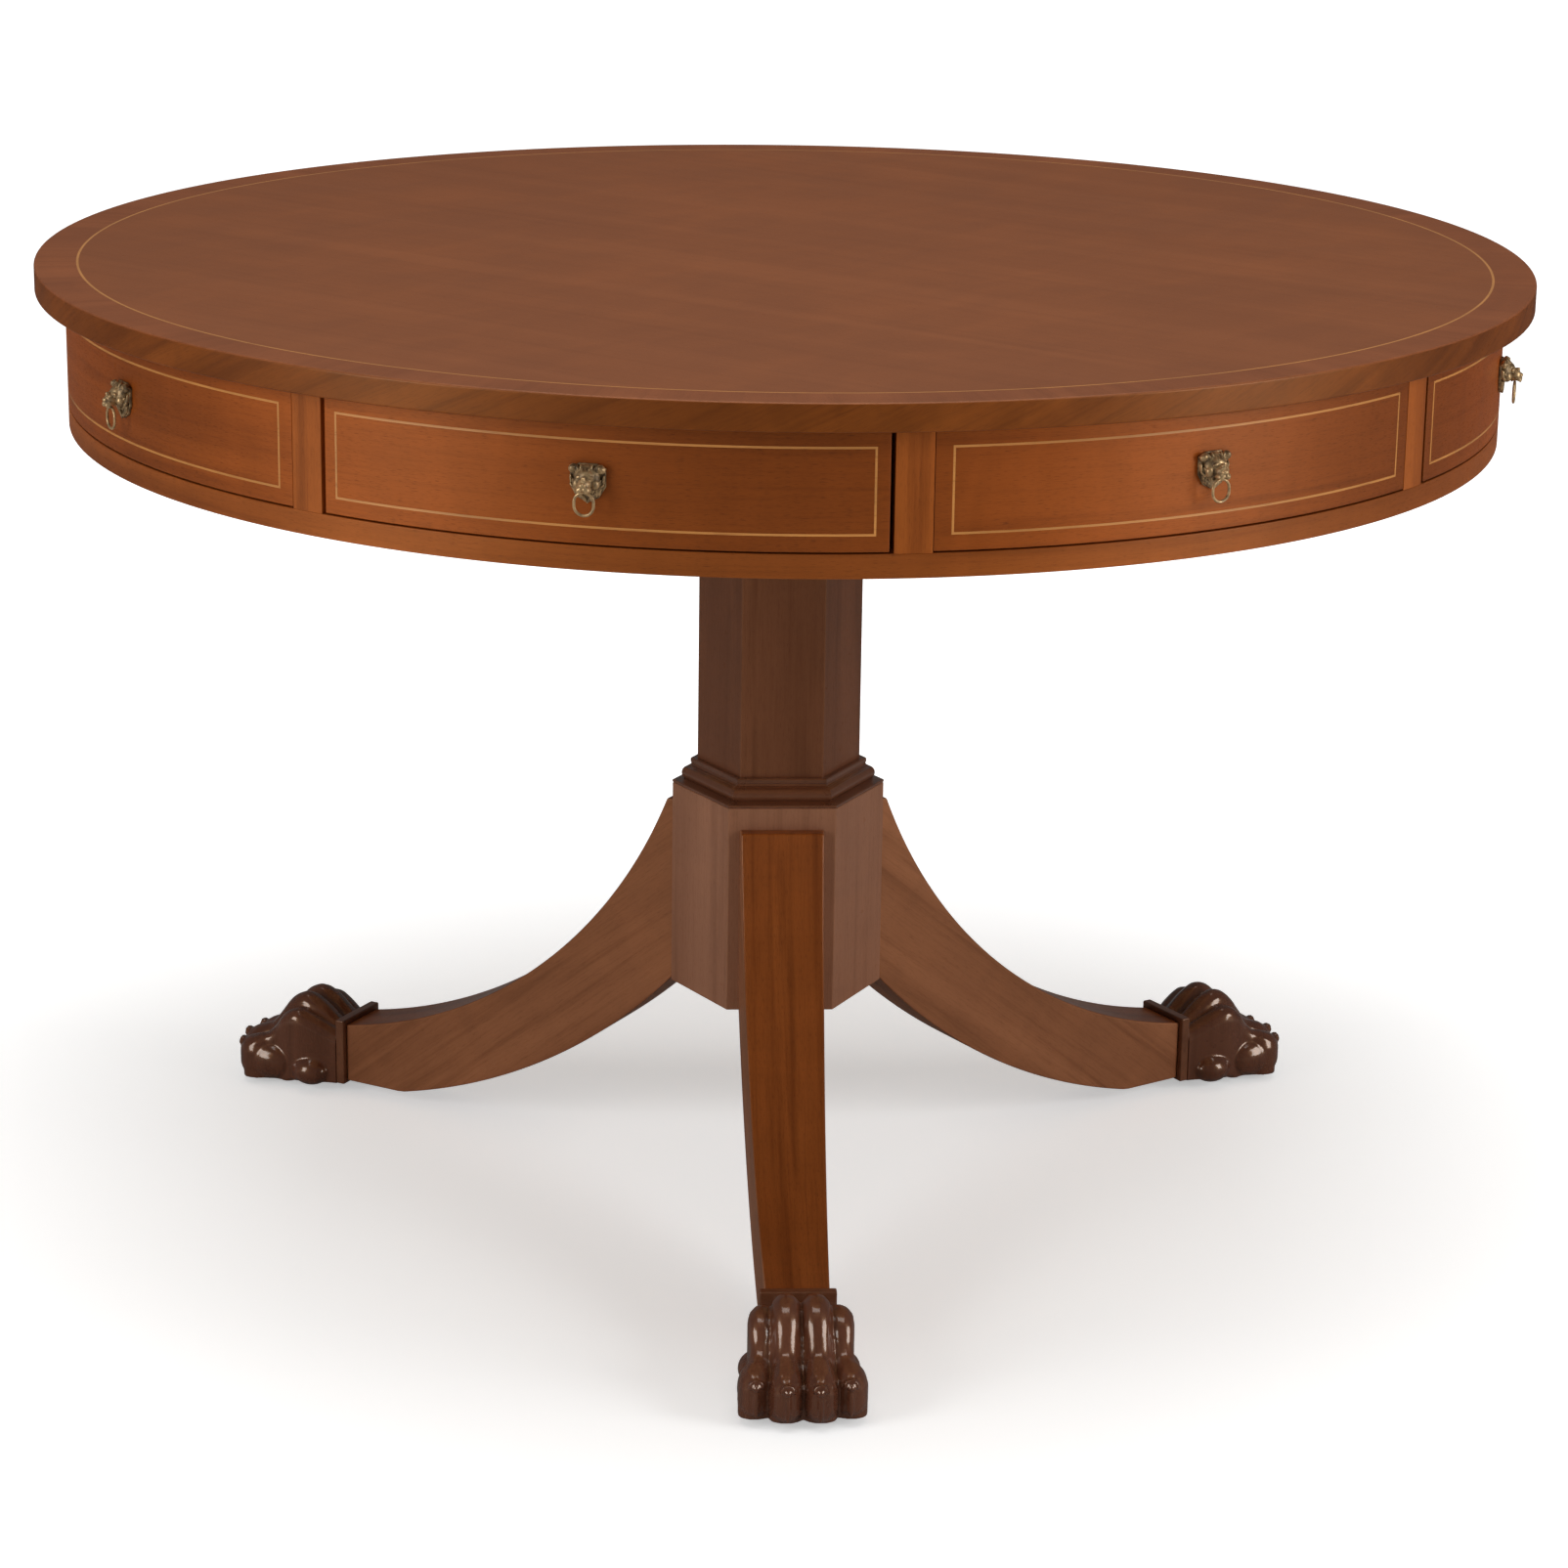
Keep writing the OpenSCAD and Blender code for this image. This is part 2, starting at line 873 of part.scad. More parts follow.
// Cast lion mask and its two pins, each a solid of its own
module pull_mask(turn) {
    bow = ring_w / 2 - sqrt(pow(ring_w / 2, 2) - pow(muzzle_w / 2, 2));
    bore_r = ring_wire / 2 + bow + bore_play;
    jaw_z = -ring_drop - bore_r - bore_wall;
    color(BRASS)
        turned(turn)
            outwards(drum_r, pull_z) {
                difference() {
                    union() {
                        linear_extrude(pull_plate_t)
                            shield_plan();
                        translate([0, head_r * 0.25, head_r * 0.65])
                            sphere(head_r, $fn = 48);
                        translate([-muzzle_w / 2, jaw_z, 0])
                            cube([muzzle_w, brow_h - jaw_z, pull_reach - 0.75 * muzzle_tip_r]);
                        translate([0, -muzzle_tip_r / 4, pull_reach - muzzle_tip_r])
                            sphere(muzzle_tip_r, $fn = 48);
                        for (side = [-1, 1])
                            translate([0.85 * side * head_r, 1.1 * head_r, 2 * pull_plate_t])
                                sphere(ear_r, $fn = 32);
                    }
                    translate([0, -ring_drop, ring_reach])
                        rotate([0, 90, 0])
                            cylinder(r = bore_r, h = pull_w, center = true);
                    translate([-pull_w, -pull_w, -pull_w])
                        cube([2 * pull_w, 2 * pull_w, pull_w]);
                    pin_places()
                        cylinder(r = pin_r + glue, h = 3 * pull_plate_t, center = true);
                }
                pin_places() {
                    translate([0, 0, pin_foot])
                        cylinder(r = pin_r, h = pull_plate_t + glue);
                    translate([0, 0, pull_plate_t + glue])
                        cylinder(r = pin_head_r, h = pin_head_h);
                }
            }
}

// Oval ring of round wire that hangs from the muzzle
module pull_ring(turn) {
    bend_r = ring_w / 2;
    straight = ring_h - ring_w;
    color(BRASS)
        turned(turn)
            outwards(drum_r + ring_reach, pull_z - ring_drop) {
                for (end = [0, 1])
                    translate([0, -bend_r - end * straight, 0])
                        rotate([0, 0, 180 * end])
                            rotate_extrude(angle = 180)
                                translate([bend_r, 0])
                                    circle(ring_wire / 2, $fn = 32);
                for (side = [-1, 1])
                    translate([side * bend_r, -bend_r - straight, 0])
                        rotate([-90, 0, 0])
                            cylinder(r = ring_wire / 2, h = straight, $fn = 32);
            }
}

column();
column_moulding();
leg_block();
cap_board();
leg(LEGS[0]);  // leg_front
leg(LEGS[1]);  // leg_right
leg(LEGS[2]);  // leg_left
foot_collars();
paw(LEGS[0]);  // paw_front
paw(LEGS[1]);  // paw_right
paw(LEGS[2]);  // paw_left
under_plate();
base_screws();
lower_bearing_plate();
king_bolt();
top_panel();
top_stringing();
top_crossband();
drum_base_board();
drum_rail();
drum_stiles();
drawer_guides();
drawer_stops();
dummy_fronts();
dummy_stringing();
dummy_pull_masks();
upper_bearing_plate();
drum_screws();
drawer_front(FRONT);  // front_drawer_front
drawer_stringing(FRONT);  // front_drawer_stringing
drawer_sides(FRONT);  // front_drawer_sides
drawer_back(FRONT);  // front_drawer_back
drawer_bottom(FRONT);  // front_drawer_bottom
pull_mask(FRONT);  // front_drawer_pull_mask
drawer_front(RIGHT);  // right_drawer_front
drawer_stringing(RIGHT);  // right_drawer_stringing
drawer_sides(RIGHT);  // right_drawer_sides
drawer_back(RIGHT);  // right_drawer_back
drawer_bottom(RIGHT);  // right_drawer_bottom
pull_mask(RIGHT);  // right_drawer_pull_mask
drawer_front(BACK);  // back_drawer_front
drawer_stringing(BACK);  // back_drawer_stringing
drawer_sides(BACK);  // back_drawer_sides
drawer_back(BACK);  // back_drawer_back
drawer_bottom(BACK);  // back_drawer_bottom
pull_mask(BACK);  // back_drawer_pull_mask
drawer_front(LEFT);  // left_drawer_front
drawer_stringing(LEFT);  // left_drawer_stringing
drawer_sides(LEFT);  // left_drawer_sides
drawer_back(LEFT);  // left_drawer_back
drawer_bottom(LEFT);  // left_drawer_bottom
pull_mask(LEFT);  // left_drawer_pull_mask
pull_ring(FRONT);  // front_drawer_ring
pull_ring(RIGHT);  // right_drawer_ring
pull_ring(BACK);  // back_drawer_ring
pull_ring(LEFT);  // left_drawer_ring
pull_ring(DUMMIES[0]);  // front_right_dummy_ring
pull_ring(DUMMIES[1]);  // back_right_dummy_ring
pull_ring(DUMMIES[2]);  // back_left_dummy_ring
pull_ring(DUMMIES[3]);  // front_left_dummy_ring
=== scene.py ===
"""Looks of a mahogany drum table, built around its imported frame.

Each operator makes one piece or a group of like pieces in place of the plain solids of the frame.
All sizes are in metres, +Z is up and the front drawer faces -Y.
"""

import json

import bmesh
import bpy
from bpy.props import FloatProperty, FloatVectorProperty, IntProperty, PointerProperty
from math import atan2, cos, hypot, pi, radians, sin, sqrt
from mathutils import Matrix, Vector


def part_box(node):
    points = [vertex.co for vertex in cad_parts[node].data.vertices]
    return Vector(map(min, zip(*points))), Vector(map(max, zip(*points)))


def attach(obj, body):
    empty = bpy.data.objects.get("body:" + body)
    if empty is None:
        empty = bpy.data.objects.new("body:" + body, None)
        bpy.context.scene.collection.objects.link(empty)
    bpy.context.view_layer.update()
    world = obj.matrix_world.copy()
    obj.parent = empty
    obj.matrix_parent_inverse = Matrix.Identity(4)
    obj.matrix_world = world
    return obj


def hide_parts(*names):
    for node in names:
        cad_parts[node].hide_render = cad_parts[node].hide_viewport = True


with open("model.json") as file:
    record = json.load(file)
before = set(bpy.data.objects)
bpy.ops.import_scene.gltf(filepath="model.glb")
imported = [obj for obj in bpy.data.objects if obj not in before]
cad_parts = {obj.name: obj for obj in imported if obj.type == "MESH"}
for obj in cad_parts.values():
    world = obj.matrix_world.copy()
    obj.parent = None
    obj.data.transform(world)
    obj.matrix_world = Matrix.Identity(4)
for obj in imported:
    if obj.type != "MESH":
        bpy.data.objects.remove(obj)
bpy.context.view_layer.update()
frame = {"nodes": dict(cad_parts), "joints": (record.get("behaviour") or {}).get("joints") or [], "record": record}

bl_info = {
    "name": "Drum Table Looks",
    "version": (1, 0, 0),
    "blender": (4, 5, 0),
    "location": "View3D > Sidebar > Drum Table",
    "description": "Builds the visible pieces and finishes of a revolving drum table",
    "category": "Object",
}

MM = 0.001
HALF_BAY = radians(22.5)
DRAWER_TURNS = {"front": 0, "right": 90, "back": 180, "left": 270}
DUMMY_TURNS = {"front_right": 45, "back_right": 135, "back_left": 225, "front_left": 315}


# ---- Sizes read from the frame ----


def reach(node):
    """Distance from the table's axis to the farthest point of a frame node."""
    return max(hypot(v.co.x, v.co.y) for v in frame["nodes"][node].data.vertices)


def mount_position(name):
    for mount in frame["record"]["mounts"]:
        if mount["name"] == name:
            return Vector(mount["pos_m"])
    raise RuntimeError(f"the record has no mount named {name}")


def joint_position(name):
    for joint in frame["joints"]:
        if joint["name"] == name:
            return Vector(joint["pos_m"])
    raise RuntimeError(f"the record has no joint named {name}")


def low(node):
    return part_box(node)[0].z


def high(node):
    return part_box(node)[1].z


TOP_R = reach("top_panel")
TOP_Z = high("top_panel")
BAY_TOP = low("top_panel")
STRING_R = reach("top_stringing")
DRUM_R = reach("drum_rail")
DRUM_Z = low("drum_rail")
BAY_Z = high("drum_rail")
COLUMN_R = reach("column")
COLUMN_TOP = low("cap_board")
BLOCK_R = reach("leg_block")
BLOCK_Z = low("leg_block")
BLOCK_TOP = high("leg_block")
MOULDING_TOP = high("column_moulding")
CAP_R = reach("cap_board")
CAP_TOP = high("cap_board")
PULL_Z = (BAY_Z + BAY_TOP) / 2
RING_HINGE = joint_position("front_drawer_ring_swing")
RING_REACH = -RING_HINGE.y
FRONT_LOW = low("front_drawer_front")
FRONT_HIGH = high("front_drawer_front")
LINE_LOW = low("front_drawer_stringing")
LINE_HIGH = high("front_drawer_stringing")
FOOT_MOUNT = mount_position("floor_rest")
LEG_TURN = atan2(FOOT_MOUNT.x, -FOOT_MOUNT.y)
LEG_TURNS = {"front": LEG_TURN, "right": LEG_TURN + radians(120), "left": LEG_TURN + radians(240)}
BLOCK_FACE = BLOCK_R * cos(radians(30))
PAW_R = FOOT_MOUNT.length - 36 * MM


# ---- Settings ----


def length(name, text, default, least=0.0, most=2.0):
    return FloatProperty(
        name=name, description=text, default=default, min=least, max=most, unit="LENGTH", precision=5
    )


def tint(name, text, default):
    return FloatVectorProperty(
        name=name, description=text, default=default, min=0.0, max=1.0, size=3, subtype="COLOR"
    )


def share(name, text, default):
    return FloatProperty(name=name, description=text, default=default, min=0.0, max=1.0, subtype="FACTOR")


class TopSettings(bpy.types.PropertyGroup):
    """Sizes of the table top that the frame leaves plain."""

    arris: length("Top arris", "Rounding of the top's upper edge", 1.8 * MM)
    lower_arris: length("Lower arris", "Rounding of the top's lower edge", 1.2 * MM)
    line_w: length("Line width", "Width of the light line in the top", 1.8 * MM)
    line_t: length("Line depth", "Thickness of the light line", 0.8 * MM)
    band_gap: length("Band joint", "Glue joint between the board and its edge band", 0.5 * MM)
    segments: IntProperty(name="Segments", description="Steps around the table", default=256, min=64,
                          max=512)


class DrumSettings(bpy.types.PropertyGroup):
    """Sizes of the drum's rail, uprights and fronts."""

    thickness: length("Front thickness", "Thickness of the rail and of the fronts", 22 * MM)
    stile_w: length("Upright width", "Width of an upright between two bays", 26 * MM)
    stile_depth: length("Upright depth", "Depth of an upright", 45 * MM)
    drawer_gap: length("Drawer gap", "Gap beside a drawer front", 3.2 * MM)
    dummy_gap: length("Dummy gap", "Gap beside a dummy front", 0.4 * MM)
    arris: length("Arris", "Rounding of the edges of the fronts and the rail", 0.7 * MM)
    line_w: length("Line width", "Width of the light line on a front", 1.6 * MM)
    line_inset: length("Line inset", "Distance from the end of a bay to the light line", 12.3 * MM)
    line_t: length("Line depth", "How deep the light line is let in", 0.7 * MM)
    line_proud: length("Line height", "How far the light line stands out from a front", 0.06 * MM)
    line_joint: length("Line joint", "Gap between two strips at a corner of the line", 0.03 * MM)


class PedestalSettings(bpy.types.PropertyGroup):
    """Sizes of the column, the legs and the feet."""

    arris: length("Arris", "Rounding of the column's corners", 0.9 * MM)
    cap_arris: length("Cap arris", "Rounding of the board on top of the column", 2.5 * MM)
    leg_arris: length("Leg arris", "Rounding of the legs' long edges", 1.4 * MM)
    leg_w: length("Leg width", "Thickness of a leg at the block", 66 * MM)
    foot_w: length("Foot width", "Thickness of a leg at its foot", 47.4 * MM)
    leg_proud: length("Leg head", "How far a leg's head stands out from the block", 10.4 * MM)
    leg_level: length("Level end", "Length of a leg's level end", 56 * MM)
    upper_curve: length("Upper curve", "Radius of a leg's upper curve", 420 * MM)
    lower_curve: length("Lower curve", "Radius of a leg's lower curve", 530 * MM)
    heel: length("Heel", "Height of a leg's belly above the foot of the block", 4 * MM)
    tenon: length("Housing", "How deep a leg's head is let into the block", 2 * MM)
    collar_t: length("Band thickness", "Thickness of the flat band at a foot", 8 * MM)
    collar_lap: length("Band lap", "How far the flat band stands out around a foot", 4.7 * MM)
    paw_cell: length("Paw detail", "Size of the cells that blend a paw's shapes", 1.0 * MM, 0.5 * MM)


class PullSettings(bpy.types.PropertyGroup):
    """Sizes of the lion masks and their rings."""

    width: length("Shield width", "Width of a mask's shield", 24.6 * MM)
    height: length("Shield height", "Height of a mask's shield", 26.6 * MM)
    plate: length("Shield thickness", "Thickness of a mask's shield", 2.0 * MM)
    ring_w: length("Ring width", "Width of a ring between the middles of its wires", 13.5 * MM)
    ring_h: length("Ring height", "Height of a ring between the middles of its wires", 15.5 * MM)
    bore: length("Ring bore", "Radius of the bore in a muzzle that a ring swings in", 2.5 * MM)
    wire: length("Wire", "Thickness of a ring's wire", 2.0 * MM)
    cell: length("Mask detail", "Size of the cells that blend a mask's shapes", 0.34 * MM, 0.1 * MM)


class FinishSettings(bpy.types.PropertyGroup):
    """Colours and gloss of the woods and the metals."""

    top: tint("Top", "Mahogany of the table top", (0.205, 0.062, 0.021))
    band: tint("Crossband", "Mahogany of the band around the top", (0.200, 0.058, 0.020))
    edge: tint("Edge", "Mahogany of the top's edge", (0.155, 0.036, 0.004))
    front: tint("Fronts", "Mahogany of the drawer fronts", (0.262, 0.055, 0.006))
    rail: tint("Rail", "Mahogany of the rail and the uprights", (0.270, 0.064, 0.009))
    column: tint("Column", "Mahogany of the column", (0.119, 0.040, 0.018))
    # The block's mahogany is lighter than the column's, partly its own colour and partly painted light for the
    # light it catches below the drum.
    block: tint("Block", "Mahogany of the block", (0.232, 0.100, 0.056))
    leg: tint("Legs", "Mahogany of the legs", (0.222, 0.080, 0.035))
    leg_face: tint("Leg faces", "Mahogany of the legs' curved faces", (0.190, 0.048, 0.009))
    paw: tint("Paws", "Dark varnished mahogany of the paws", (0.089, 0.028, 0.014))
    line: tint("Light line", "Boxwood of the inlaid lines", (0.500, 0.205, 0.045))
    pine: tint("Inner wood", "Bare wood inside the drum", (0.480, 0.290, 0.140))
    brass: tint("Brass", "Worn brass of the pulls", (0.680, 0.450, 0.220))
    patina: tint("Patina", "Dark patina in the brass", (0.110, 0.068, 0.030))
    varnish: share("Varnish", "Roughness of the satin varnish", 0.38)


class StageSettings(bpy.types.PropertyGroup):
    """Camera and light."""

    turn: FloatProperty(name="Camera turn", description="Camera's turn from the front drawer",
                        default=radians(13.4), subtype="ANGLE")
    distance: length("Distance", "Camera's distance from the axis", 3.328, 1.0, 9.0)
    height: length("Height", "Camera's height above the floor", 1.329, 0.0, 9.0)
    pitch: FloatProperty(name="Pitch", description="Camera's tilt below level", default=0.2911,
                         subtype="ANGLE")
    pan: FloatProperty(name="Pan", description="Camera's turn to the right", default=0.0014, subtype="ANGLE")
    roll: FloatProperty(name="Roll", description="Camera's roll", default=0.0146, subtype="ANGLE")
    ambient: FloatProperty(name="Ambient", description="Even light from all around", default=0.2, min=0.0)
    key_left: FloatProperty(name="Left softbox", description="Power of the left light", default=64.0,
                            unit="POWER")
    key_right: FloatProperty(name="Right softbox", description="Power of the right light", default=76.0,
                             unit="POWER")
    overhead: FloatProperty(name="Overhead softbox", description="Power of the light above", default=62.0,
                            unit="POWER")
    lens: FloatProperty(name="Lens", description="Focal length on a 36 mm sensor", default=99.24,
                        unit="CAMERA", subtype="NONE")


# ---- Mesh tools ----


def turned(angle):
    return Matrix.Rotation(angle, 4, "Z")


def finish_piece(name, bm, body, material, replaced=(), sharp=40.0):
    """Closes a bmesh into a shaded object that rides on a body in place of frame nodes."""
    bmesh.ops.remove_doubles(bm, verts=bm.verts, dist=0.00001)
    bmesh.ops.recalc_face_normals(bm, faces=bm.faces)
    mesh = bpy.data.meshes.new(name)
    bm.to_mesh(mesh)
    bm.free()
    for polygon in mesh.polygons:
        polygon.use_smooth = True
    mesh.set_sharp_from_angle(angle=radians(sharp))
    return place_mesh(name, mesh, body, material, replaced)


def place_mesh(name, mesh, body, material, replaced=()):
    piece = bpy.data.objects.new(name, mesh)
    bpy.context.scene.collection.objects.link(piece)
    mesh.materials.append(material)
    weights = piece.modifiers.new("Weighted normals", "WEIGHTED_NORMAL")
    weights.keep_sharp = True
    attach(piece, body)
    if replaced:
        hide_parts(*replaced)
    return piece


def rounded_section(r0, r1, z0, z1, rounds, steps=5):
    """Corners of a rectangle in the r-z plane, from the inner foot round by the outer side."""
    corners = [(r0, z0, 1, 1), (r1, z0, -1, 1), (r1, z1, -1, -1), (r0, z1, 1, -1)]
    points = []
    for k, ((r, z, into_r, into_z), round_r) in enumerate(zip(corners, rounds)):
        if round_r <= 0:
            points.append((r, z))
            continue
        for i in range(steps + 1):
            a = radians(180 + 90 * k + 90 * i / steps)
            points.append((r + into_r * round_r + round_r * cos(a), z + into_z * round_r + round_r * sin(a)))
    return points


def add_outline(bm, points, close=True):
    """Puts an outline in the plane that runs outwards along -Y and up; returns its geometry."""
    verts = [bm.verts.new((0, -r, z)) for r, z in points]
    pairs = list(zip(verts, verts[1:] + verts[:1])) if close else list(zip(verts, verts[1:]))
    return verts + [bm.edges.new(pair) for pair in pairs]


def lathe(points, segments, close=True):
    bm = bmesh.new()
    outline = add_outline(bm, points, close)
    bmesh.ops.spin(bm, geom=outline, cent=(0, 0, 0), axis=(0, 0, 1), angle=2 * pi, steps=segments,
                   use_merge=True)
    return bm


def cut(bm, point, normal):
    """Cuts off what lies on the normal's side of a plane, and closes the cut."""
    geometry = bm.verts[:] + bm.edges[:] + bm.faces[:]
    result = bmesh.ops.bisect_plane(bm, geom=geometry, plane_co=point, plane_no=normal, clear_outer=True)
    edges = [g for g in result["geom_cut"] if isinstance(g, bmesh.types.BMEdge)]
    bmesh.ops.holes_fill(bm, edges=edges, sides=0)


def round_edges(bm, offset, segments=3, least=50.0):
    """Rounds every edge whose faces meet at more than an angle."""
    bmesh.ops.recalc_face_normals(bm, faces=bm.faces)
    edges = [e for e in bm.edges if len(e.link_faces) == 2 and e.calc_face_angle() > radians(least)]
    bmesh.ops.bevel(bm, geom=edges, offset=offset, offset_type="OFFSET", segments=segments, profile=0.5,
                    affect="EDGES", material=-1, clamp_overlap=True)


def pour(one, whole):
    """Moves the shapes of one bmesh into another."""
    spare = bpy.data.meshes.new("spare")
    one.to_mesh(spare)
    one.free()
    whole.from_mesh(spare)
    bpy.data.meshes.remove(spare)


def bent_board(r0, r1, z0, z1, bay_gap, stile_w, steps=48):
    """A board bent to the drum that faces -Y, with ends parallel to the uprights beside it."""
    bm = bmesh.new()
    outline = add_outline(bm, [(r0, z0), (r1, z0), (r1, z1), (r0, z1)])
    bmesh.ops.rotate(bm, verts=bm.verts, cent=(0, 0, 0), matrix=Matrix.Rotation(-HALF_BAY, 3, "Z"))
    bmesh.ops.spin(bm, geom=outline, cent=(0, 0, 0), axis=(0, 0, 1), angle=2 * HALF_BAY, steps=steps)
    for side in (-1, 1):
        normal = Vector((side * cos(HALF_BAY), sin(HALF_BAY), 0))
        foot = normal * -(stile_w / 2 + bay_gap)
        cut(bm, foot, normal)
    return bm


def hexagonal_stack(levels, turn):
    """Hexagonal rings of given corner radii at given heights, joined and closed, a flat at the turn."""
    bm = bmesh.new()
    now_r, now_z = levels[0]
    ring = bmesh.ops.create_circle(bm, cap_ends=True, radius=now_r, segments=6)["verts"]
    bmesh.ops.rotate(bm, verts=ring, cent=(0, 0, 0), matrix=Matrix.Rotation(turn + radians(30), 3, "Z"))
    bmesh.ops.translate(bm, verts=ring, vec=(0, 0, now_z))
    bm.faces.ensure_lookup_table()
    first = face = bm.faces[0]
    for r, z in levels[1:]:
        made = bmesh.ops.extrude_face_region(bm, geom=[face])
        if face is not first and face.is_valid:
            bmesh.ops.delete(bm, geom=[face], context="FACES_ONLY")
        face = [g for g in made["geom"] if isinstance(g, bmesh.types.BMFace)][0]
        verts = face.verts[:]
        bmesh.ops.scale(bm, verts=verts, vec=(r / now_r, r / now_r, 1))
        bmesh.ops.translate(bm, verts=verts, vec=(0, 0, z - now_z))
        now_r, now_z = r, z
    return bm


def add_blob(bm, centre, radii, spin=(0, 0, 0), detail=3):
    """An ellipsoid at a centre, turned about X, Y and Z by degrees."""
    ball = bmesh.ops.create_icosphere(bm, subdivisions=detail, radius=1.0)["verts"]
    bmesh.ops.scale(bm, verts=ball, vec=radii)
    for axis, degrees in zip("XYZ", spin):
        if degrees:
            spun = Matrix.Rotation(radians(degrees), 3, axis)
            bmesh.ops.rotate(bm, verts=ball, cent=(0, 0, 0), matrix=spun)
    bmesh.ops.translate(bm, verts=ball, vec=centre)
    return ball


def blended_mesh(name, bm, cell, passes, drill=None):
    """Melts overlapping closed shapes into one skin, bores it if a drill is given, and smooths it."""
    rough = bpy.data.meshes.new(name + "_rough")
    bm.to_mesh(rough)
    bm.free()
    holder = bpy.data.objects.new(name + "_rough", rough)
    bpy.context.scene.collection.objects.link(holder)
    remesh = holder.modifiers.new("Blend", "REMESH")
    remesh.mode = "VOXEL"
    remesh.voxel_size = cell
    if drill:
        shaft = bpy.data.meshes.new(name + "_drill")
        drill.to_mesh(shaft)
        drill.free()
        tool = bpy.data.objects.new(name + "_drill", shaft)
        bpy.context.scene.collection.objects.link(tool)
        bore = holder.modifiers.new("Bore", "BOOLEAN")
        bore.object = tool
        bore.solver = "EXACT"
    bpy.context.view_layer.update()
    shown = holder.evaluated_get(bpy.context.evaluated_depsgraph_get())
    blended = bpy.data.meshes.new_from_object(shown)
    bpy.data.objects.remove(holder)
    bpy.data.meshes.remove(rough)
    if drill:
        bpy.data.objects.remove(tool)
        bpy.data.meshes.remove(shaft)
    skin = bmesh.new()
    skin.from_mesh(blended)
    bpy.data.meshes.remove(blended)
    for _ in range(passes):
        bmesh.ops.smooth_vert(skin, verts=skin.verts, factor=0.5, use_axis_x=True, use_axis_y=True,
                              use_axis_z=True)
    return skin


def smooth_curve(points, t):
    """Point at a share t of the way along a smooth curve through tuples of equal length."""
    span = t * (len(points) - 1)
    k = min(int(span), len(points) - 2)
    u = span - k
    before = points[max(k - 1, 0)]
    start, end = points[k], points[k + 1]
    after = points[min(k + 2, len(points) - 1)]
    return [
        0.5 * (2 * p1 + (p2 - p0) * u + (2 * p0 - 5 * p1 + 4 * p2 - p3) * u**2
               + (3 * p1 - p0 - 3 * p2 + p3) * u**3)
        for p0, p1, p2, p3 in zip(before, start, end, after)
    ]


# ---- Material tools ----


def put(tree, kind, settings=None, inputs=None):
    """Adds a node, sets its options, and fills or links its inputs."""
    node = tree.nodes.new(kind)
    for key, value in (settings or {}).items():
        setattr(node, key, value)
    for key, value in (inputs or {}).items():
        socket = node.inputs[key]
        if isinstance(value, bpy.types.NodeSocket):
            tree.links.new(value, socket)
        else:
            socket.default_value = value
    return node


def math_node(tree, operation, a, b=0.0, clamp=False):
    return put(tree, "ShaderNodeMath", {"operation": operation, "use_clamp": clamp}, {0: a, 1: b}).outputs[0]


def mix_colour(tree, blend, factor, a, b):
    node = put(tree, "ShaderNodeMix", {"data_type": "RGBA", "blend_type": blend},
               {"Factor": factor})
    for index, value in ((6, a), (7, b)):
        if isinstance(value, bpy.types.NodeSocket):
            tree.links.new(value, node.inputs[index])
        else:
            node.inputs[index].default_value = (*value[:3], 1.0)
    return node.outputs[2]


def stretched_noise(tree, vector, stretch, detail=3.0, roughness=0.55, twist=0.0):
    """Noise whose cells are drawn out along X, in cells to the metre."""
    scaled = put(tree, "ShaderNodeVectorMath", {"operation": "MULTIPLY"}, {0: vector, 1: stretch}).outputs[0]
    return put(tree, "ShaderNodeTexNoise", {"noise_dimensions": "3D"},
               {"Vector": scaled, "Scale": 1.0, "Detail": detail, "Roughness": roughness,
                "Distortion": twist}).outputs[0]


def ramp(tree, value, low_at, high_at):
    return put(tree, "ShaderNodeMapRange", {"interpolation_type": "SMOOTHSTEP"},
               {"Value": value, "From Min": low_at, "From Max": high_at}).outputs[0]


def start_group(name, inputs, outputs):
    """A shader node group with named sockets; returns the tree, its input node and its output node."""
    tree = bpy.data.node_groups.new(name, "ShaderNodeTree")
    for kind, direction in ((inputs, "INPUT"), (outputs, "OUTPUT")):
        for socket_name, socket_type, default in kind:
            socket = tree.interface.new_socket(socket_name, in_out=direction, socket_type=socket_type)
            if default is not None:
                socket.default_value = default
    return tree, tree.nodes.new("NodeGroupInput"), tree.nodes.new("NodeGroupOutput")


def group_node(tree, group, inputs=None):
    node = tree.nodes.new("ShaderNodeGroup")
    node.node_tree = group
    for key, value in (inputs or {}).items():
        if isinstance(value, bpy.types.NodeSocket):
            tree.links.new(value, node.inputs[key])
        else:
            node.inputs[key].default_value = value
    return node


def drum_directions():
    """Turns a position into distance around the drum, distance from the axis, and height."""
    tree, source, result = start_group(
        "Around the drum",
        [("Position", "NodeSocketVector", None), ("Radius", "NodeSocketFloat", 0.55)],
        [("Vector", "NodeSocketVector", None)],
    )
    parts = put(tree, "ShaderNodeSeparateXYZ", inputs={0: source.outputs["Position"]}).outputs
    back = math_node(tree, "MULTIPLY", parts[1], -1.0)
    angle = math_node(tree, "ARCTAN2", parts[0], back)
    along = math_node(tree, "MULTIPLY", angle, source.outputs["Radius"])
    squares = math_node(tree, "ADD", math_node(tree, "MULTIPLY", parts[0], parts[0]),
                        math_node(tree, "MULTIPLY", parts[1], parts[1]))
    out = math_node(tree, "SQRT", squares)
    joined = put(tree, "ShaderNodeCombineXYZ", inputs={0: along, 1: out, 2: parts[2]}).outputs[0]
    tree.links.new(joined, result.inputs["Vector"])
    return tree


